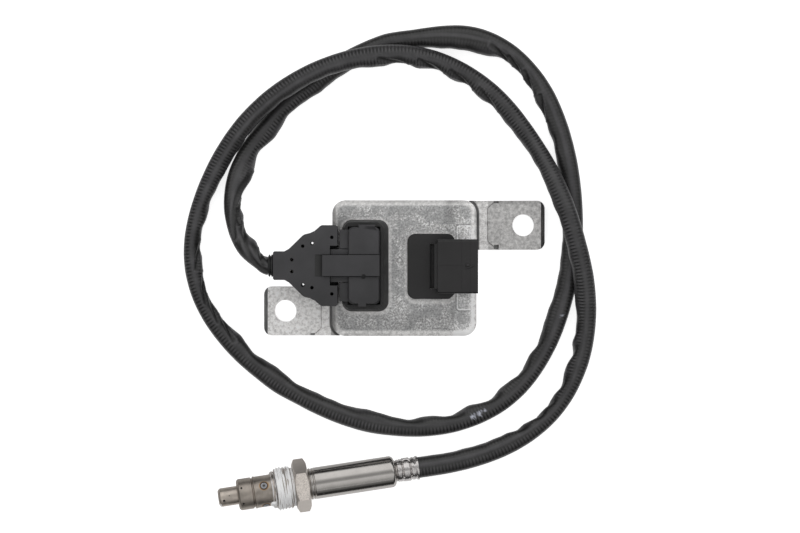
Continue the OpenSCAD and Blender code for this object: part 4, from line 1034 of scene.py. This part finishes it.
# Probe, by stations along its axis from the tip
OUTER_U0, OUTER_R, OUTER_BORE, TIP_R, WALL = 9.2, 7.45, 6.65, 4.4, 0.5
COLLAR_U0, COLLAR_U1, COLLAR_R = 25.2, 27.0, 8.7
SCREW_U0, RELIEF_U0, HEX_U0, HEX_U1 = 27.3, 35.0, 36.3, 43.0
THREAD_R, THREAD_PITCH, HEX_HALF = 10.0, 1.5, 11.0
RING_U0, SLEEVE_U0, SLEEVE_U1, SLEEVE_R = 43.3, 46.1, 82.9, 7.5
FERRULE_U0, STEM_R, BORE_R, NECK_R = 85.3, 7.2, 7.28, 4.95


def steps(low, high, step):
    count = max(1, int(round((high - low) / step)))
    return [low + (high - low) * i / count for i in range(count + 1)]


def on_probe(u, turn, lift):
    """A matrix to a station on the probe, turned about its axis in degrees and lifted off it."""
    return (
        probe_matrix
        @ Matrix.Translation(Vector((u * MM, 0, 0)))
        @ Matrix.Rotation(-math.radians(turn), 4, "X")
        @ Matrix.Translation(Vector((0, 0, lift * MM)))
    )


def drilled(obj, holes):
    """Cuts radial holes, given as (station, angle from up in degrees, diameter)."""
    bm = bmesh.new()
    for u, turn, diameter in holes:
        bmesh.ops.create_cone(
            bm, cap_ends=True, segments=24, radius1=diameter / 2 * MM, radius2=diameter / 2 * MM,
            depth=7 * MM, matrix=on_probe(u, turn, 6.5),
        )
    cut_away(obj, bm)


def blackened(obj, radius, station):
    """Black on a tube's inside and on the walls of its gas holes."""
    obj.data.materials.append(finishes["chip_black"].material)
    back = probe_matrix.inverted()
    turn = back.to_3x3()
    for face in obj.data.polygons:
        spot = (back @ face.center) / MM
        outward = Vector((0, spot.y, spot.z))
        reach = outward.length
        facing = (turn @ face.normal).dot(outward) / max(reach, 1e-6)
        if (facing < -0.3 and reach < radius - 0.2) or (abs(spot.x - station) < 0.8 and facing < 0.5):
            face.material_index = 1


def tip_and_outer_tube():
    tip = lathe(
        "tip_tube_turned",
        rounded([(0.45, 1.3), (0, 1.3), (0, TIP_R - 1.0, 0.6), (1.15, TIP_R, 0.6), (1.6, TIP_R)], 0.1, 4)
        + [Vector((u, TIP_R)) for u in steps(1.8, 8.0, 0.4)]
        + [Vector(p) for p in ((20.3, TIP_R), (20.3, TIP_R - WALL), (8.0, TIP_R - WALL))]
        + [Vector((u, TIP_R - WALL)) for u in reversed(steps(0.9, 7.6, 0.5))]
        + [Vector(p) for p in ((WALL, TIP_R - WALL - 0.4), (WALL, 1.3), (0.45, 1.3))],
        "tube_steel",
    )
    drilled(tip, [(2.4, turn, 1.2) for turn in (100, 220, 340)] + [(5.1, 8, 0.5)])
    blackened(tip, TIP_R, 2.4)
    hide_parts("tip_tube")
    welds = [(21.8, 24 + 90 * i) for i in range(4)]

    def spot(u, a):
        best = 9.0
        for place, turn in welds:
            arc = (math.degrees(a) - turn + 180) % 360 - 180
            best = min(best, math.hypot(u - place, math.radians(arc) * OUTER_R))
        return best

    def surface(u, r, a):
        gap = spot(u, a)
        if r < OUTER_R - 0.01 or gap > 2.2:
            return r
        return r - 0.16 * math.exp(-((gap / 0.75) ** 2)) + 0.09 * math.exp(-(((gap - 1.25) / 0.3) ** 2))

    seam = 16.7
    outline = [(OUTER_U0 + WALL, TIP_R + 0.1), (OUTER_U0, TIP_R + 0.1), (OUTER_U0, OUTER_R - 0.9, 0.7),
        (OUTER_U0 + 0.9, OUTER_R, 0.7), (seam - 0.7, OUTER_R), (seam - 0.3, OUTER_R - 0.6),
        (seam, OUTER_R - 0.6), (seam + 0.4, OUTER_R + 0.2), (seam + 0.75, OUTER_R + 0.2),
        (seam + 1.3, OUTER_R), (19.0, OUTER_R)]
    outline[4:4] = [(u, OUTER_R) for u in steps(10.4, 15.9, 0.5)]
    profile = rounded(outline, 0.08, 3)
    profile += [Vector((u, OUTER_R)) for u in steps(19.1, 23.7, 0.2)]
    profile += [Vector(p) for p in ((24.7, OUTER_R), (24.9, OUTER_R + 0.12), (COLLAR_U0, OUTER_R + 0.12),
        (COLLAR_U0, OUTER_BORE), (OUTER_U0 + WALL, OUTER_BORE), (OUTER_U0 + WALL, TIP_R + 0.1))]
    tube = lathe("outer_tube_turned", profile, "tube_steel", segments=144, finish=outer_finish, shape=surface)
    drilled(tube, [(11.2, 27 - 60 * i, 1.0) for i in range(6)])
    blackened(tube, OUTER_R, 11.2)
    back = probe_matrix.inverted()
    values = []
    for vertex in tube.data.vertices:
        local = (back @ vertex.co) / MM
        a = math.atan2(local.y, local.z)
        wide = spot(local.x, a) if math.hypot(local.y, local.z) > OUTER_R - 0.3 else 9.0
        values.append(max(0.0, 1 - wide / 2.6))
    point_values(tube.data, "weld", values)
    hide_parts("outer_tube")


def shell_and_sleeve():
    shell = lathe(
        "probe_shell_turned",
        rounded([(21.0, 2.6), (21.0, 6.55), (COLLAR_U0, 6.55), (COLLAR_U0, 8.1, 0.2), (25.6, 8.15),
            (25.75, COLLAR_R), (26.8, COLLAR_R), (COLLAR_U1, COLLAR_R - 0.2), (COLLAR_U1, STEM_R),
            (RING_U0, STEM_R), (RING_U0, 6.1), (53.0, 6.1), (53.0, 5.0), (24.0, 5.0), (24.0, 2.6),
            (21.0, 2.6)], 0.12),
        "satin_steel",
    )
    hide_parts("probe_shell")
    ring = SLEEVE_R - 0.28
    outline = [(RING_U0, 6.15), (RING_U0, ring), (RING_U0 + 0.35, ring), (RING_U0 + 0.6, SLEEVE_R),
        (RING_U0 + 0.95, SLEEVE_R), (RING_U0 + 1.2, ring), (SLEEVE_U0 - 1.05, ring),
        (SLEEVE_U0 - 0.8, SLEEVE_R), (SLEEVE_U0 - 0.5, SLEEVE_R), (SLEEVE_U0 - 0.25, ring + 0.04),
        (SLEEVE_U0, SLEEVE_R), (SLEEVE_U1 - 0.6, SLEEVE_R, 1.2)]
    sleeve = rounded(outline + [(SLEEVE_U1 + 0.4, SLEEVE_R)], 0.14)[:-1]
    sleeve += [Vector((SLEEVE_U1 - 0.6 + 2.2 * math.sin(t), SLEEVE_R - 2.1 + 2.1 * math.cos(t)))
        for t in (math.radians(5 * i) for i in range(1, 17))]
    sleeve += rounded([tuple(sleeve[-1]), (SLEEVE_U1 + 1.9, NECK_R + 0.12, 0.5), (FERRULE_U0, NECK_R),
        (FERRULE_U0, NECK_R - 0.7), (84.2, NECK_R - 0.7), (82.4, 6.4), (46.5, 6.4), (46.3, 6.15),
        (RING_U0, 6.15)], 0.2)[1:]
    piece = lathe("main_sleeve_drawn", sleeve, "polished_steel", segments=160)
    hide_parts("main_sleeve")


def ferrule():
    low, high = FERRULE_U0, PROBE_L + PROBE_SLIP
    arch_u, arch_half, arch_top = 90.0, 1.75, math.radians(66)

    def crimped(u, r, a):
        if r < 4.8 or not low + 0.5 < u < high - 0.3:
            return r
        around = (a + math.pi) % (2 * math.pi) - math.pi
        dent = 0.12 * (0.5 + 0.5 * math.cos(6 * a + 0.8)) * math.exp(-(((u - 93.0) / 1.3) ** 2))
        # A raised tongue with a rounded end, cut free by a groove on its three sides
        reach = (around - arch_top) * r
        side = abs(u - arch_u)
        edge = abs(math.hypot(side, max(0.0, reach + arch_half)) - arch_half)
        cut = 0.62 * math.exp(-((edge / 0.3) ** 2)) if around > math.radians(-40) else 0.0
        place = Vector((u * 1.5, 2.6 * math.sin(a), 2.6 * math.cos(a)))
        wrinkle = 0.16 * noise.noise(place) + 0.09 * noise.noise(place * 2.3)
        return r - dent - cut + wrinkle * (0.4 if side < arch_half - 0.3 else 1.0)

    outline = rounded([(low, 3.8), (low, NECK_R), (low + 0.5, 5.35), (low + 1.3, 5.2), (low + 1.9, 5.5),
        (low + 2.5, 5.1), (low + 3.1, 5.6), (low + 6.3, 5.65), (low + 6.8, 5.0), (low + 7.4, 5.35),
        (low + 8.3, 5.45), (low + 8.9, 5.1), (low + 9.5, 5.7), (high, 5.75)], 0.3, 5)
    fine = []
    for a, b in zip(outline, outline[1:]):
        count = max(1, int((b - a).length / 0.14))
        fine += [a.lerp(b, i / count) for i in range(count)]
    fine += [Vector((high, 5.75)), Vector((high, 4.9)), Vector((high, 3.8)), Vector((low, 3.8))]
    piece = lathe("crimped_ferrule", fine, "bright_steel", segments=160, shape=crimped)
    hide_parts("crimp_ferrule")


def hexagon_radius(a):
    return HEX_HALF / math.cos((a + math.pi / 6) % (math.pi / 3) - math.pi / 6)


def screw_surface(u, r, a):
    if r < BORE_R + 0.01:
        return r
    if SCREW_U0 - 1e-6 <= u <= RELIEF_U0 + 1e-6:
        t = (u / THREAD_PITCH + a / (2 * math.pi)) % 1.0
        depth = 0.66 * min(1.0, max(0.0, (abs(2 * t - 1) - 0.1) / 0.8))
        ends = min(u - SCREW_U0, RELIEF_U0 - u)
        return min(THREAD_R - depth, 9.25 + max(0.0, ends))
    if HEX_U0 - 1e-6 <= u <= HEX_U1 + 1e-6:
        ends = min(u - HEX_U0, HEX_U1 - u)
        return min(hexagon_radius(a), 10.65 + 1.9 * ends)
    return r


def union_screw():
    threads = [(SCREW_U0, BORE_R)] + [(u, THREAD_R) for u in steps(SCREW_U0, RELIEF_U0, 0.1)]
    relief = rounded([(RELIEF_U0, 9.2), (35.2, 8.9, 0.3), (36.1, 8.9, 0.2), (HEX_U0, 9.3)], 0.2)
    relief = [(p.x, p.y) for p in relief]
    flats = [(u, HEX_HALF) for u in steps(HEX_U0, HEX_U0 + 1.3, 0.1)]
    flats += [(u, HEX_HALF) for u in steps(HEX_U1 - 1.3, HEX_U1, 0.1)]
    profile = threads + relief + flats + [(HEX_U1, 9.0), (HEX_U1, BORE_R), (SCREW_U0, BORE_R)]
    piece = lathe(
        "union_screw_cut", profile, "screw_steel", SCREW, segments=144, shape=screw_surface, smooth=24
    )
    mesh = piece.data
    mesh.materials.append(painted_lit_hex_finish.material)
    mesh.materials.append(painted_shaded_hex_finish.material)
    back = probe_matrix.inverted()
    # Painted light: the flat facing up takes the paler copy, the other hexagon faces the darker one
    for face in mesh.polygons:
        if (back @ face.center).x / MM > HEX_U0:
            face.material_index = 1 if face.normal.z > 0.8 else 2
    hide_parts("union_screw")


def paste():
    """White assembly paste in ragged strands over the thread and in the groove behind it."""
    def strand(u, r, a):
        if r < 9.0:
            return r
        ring = Vector((0, math.sin(a), math.cos(a)))
        crest = 0.5 + 0.5 * math.cos(2 * math.pi * (u / THREAD_PITCH + a / (2 * math.pi) - 0.5))
        wide = noise.noise(ring * 1.2 + Vector((u * 0.3, 0, 0)))
        lines = noise.noise(ring * 1.1 + Vector((u * 2.6 + 0.4 * math.sin(2 * a), 7, 0)))
        fine = noise.noise(ring * 2.2 + Vector((u * 6.0, 3, 5)))
        ends = min(1.0, max(0.0, min(u - 27.35, 36.25 - u) / 0.5))
        level = 0.68 + 0.5 * crest if u < 34.8 else 0.12
        return 8.95 + (level + 0.35 * wide + 0.42 * lines + 0.15 * fine) * ends

    def smear(u, r, a):
        if r < 8.3:
            return r
        ring = Vector((0, math.sin(a), math.cos(a)))
        lines = noise.noise(ring * 1.4 + Vector((u * 2.2, 1, 9)))
        fine = noise.noise(ring * 3.0 + Vector((u * 5.0, 3, 5)))
        return 8.5 + 0.12 * math.sin((u - 25.4) * 2.1) - 0.18 * math.sin(a + 0.4) + 0.6 * lines + 0.25 * fine

    collar = [(25.5, 8.2)] + [(u, 8.8) for u in steps(25.5, 27.25, 0.1)] + [(27.25, 8.2), (25.5, 8.2)]
    lathe(
        "collar_paste", collar, "satin_steel", UNIT, segments=160, finish=paste_finish, shape=smear, smooth=80
    )

    profile = [(27.35, 8.5)] + [(u, 10.0) for u in steps(27.35, 36.25, 0.11)] + [(36.25, 8.5), (27.35, 8.5)]
    lathe(
        "thread_paste", profile, "satin_steel", SCREW, segments=200, finish=paste_finish, shape=strand,
        smooth=80,
    )

    def blob(name, u, turn, size, lift):
        bm = bmesh.new()
        bmesh.ops.create_icosphere(bm, subdivisions=3, radius=1.0)
        place = on_probe(u, turn, lift)
        for v in bm.verts:
            rough = 1 + 0.35 * noise.noise(v.co * 1.7 + Vector((u, turn, 0)))
            v.co = place @ (Vector((v.co.x * size[0], v.co.y * size[1], v.co.z * size[2])) * rough * MM)
        new_object(name, mesh_of(bm, name), "satin_steel", UNIT, paste_finish, smooth=180)

    blob("paste_blob_collar", 25.4, -44, (1.5, 1.4, 0.8), 8.9)
    blob("paste_blob_tip_a", 0.9, -62, (0.5, 1.3, 0.25), 4.05)
    blob("paste_blob_tip_b", 2.0, -66, (1.1, 0.45, 0.2), 4.05)


tip_and_outer_tube()
shell_and_sleeve()
ferrule()
union_screw()
paste()

# Camera and light
camera_data = bpy.data.cameras.new("camera")
camera_data.sensor_width = 36
camera_data.lens = FOCAL_PX * camera_data.sensor_width / 800
camera_data.clip_start = 0.01
camera_data.clip_end = 20
camera = bpy.data.objects.new("camera", camera_data)
camera.location = Vector((CAMERA_X, CAMERA_Y, CAMERA_Z)) * MM
scene.collection.objects.link(camera)
scene.camera = camera

# The floor: pale paper that glows a little, so that no shadow is seen on it
floor_mesh = from_pydata("floor", [(-4, -4, 0), (4, -4, 0), (4, 4, 0), (-4, 4, 0)], [(0, 1, 2, 3)])
floor = bpy.data.objects.new("floor", floor_mesh)
floor.location.z = -0.0001
floor.visible_glossy = False
floor.visible_diffuse = False
scene.collection.objects.link(floor)
floor_paper = Shade("floor_paper", (0.85, 0.85, 0.85), roughness=0.9)
floor_paper.set("Emission Color", (1.0, 1.0, 1.0))
floor_paper.set("Emission Strength", 0.75)
floor_mesh.materials.append(floor_paper.material)

# Studio sky: a wide softbox on the +Y side, a weaker one with a bright rim on the -Y side, dark walls,
# and white paper below
world = bpy.data.worlds.new("studio")
scene.world = world
world.use_nodes = True
sky = Graph(world.node_tree)
look = sky.tree.nodes.new("ShaderNodeTexCoord")
split = sky.tree.nodes.new("ShaderNodeSeparateXYZ")
sky.tree.links.new(look.outputs["Generated"], split.inputs[0])
look_y, look_z = split.outputs["Y"], split.outputs["Z"]
PAPER_LEVELS = (0.85, 0.6)
SKY_GAIN = 1.1
# Angle from the zenith across the probe, in degrees, and the light from there
SKY_STOPS = [
    (-90, 0.17), (-60, 0.2), (-56, 0.32), (-53, 0.85), (-50, 0.3), (-44, 0.5), (-32, 0.68), (-20, 0.8),
    (-11, 0.85), (-5, 0.48), (5, 0.36), (15, 0.5), (21, 0.72), (28, 1.05), (60, 1.1), (70, 1.0),
    (75, 0.3), (90, 0.25),
]
share = sky.math("ADD", sky.math("DIVIDE", sky.math("ARCTAN2", look_y, look_z), math.pi), 0.5)
boxes = sky.ramp(share, [(degrees / 180 + 0.5, grey(level)) for degrees, level in SKY_STOPS])
upper = sky.times(sky.times(boxes, SKY_GAIN), sky.span(look_z, 0.18, 0.34, 0.2, 1.0, smooth=True))
under = sky.span(look_z, -0.22, -0.3, smooth=True)
paper = sky.blend(under, upper, sky.span(look_y, -0.6, 0.6, *PAPER_LEVELS))
# The camera itself sees plain white behind the object
ray = sky.tree.nodes.new("ShaderNodeLightPath")
background = sky.tree.nodes["Background"]
sky.feed(sky.blend(ray.outputs["Is Camera Ray"], paper, 1.0), background.inputs["Strength"])
background.inputs["Color"].default_value = (1, 1, 1, 1)
scene.view_settings.view_transform = "Standard"
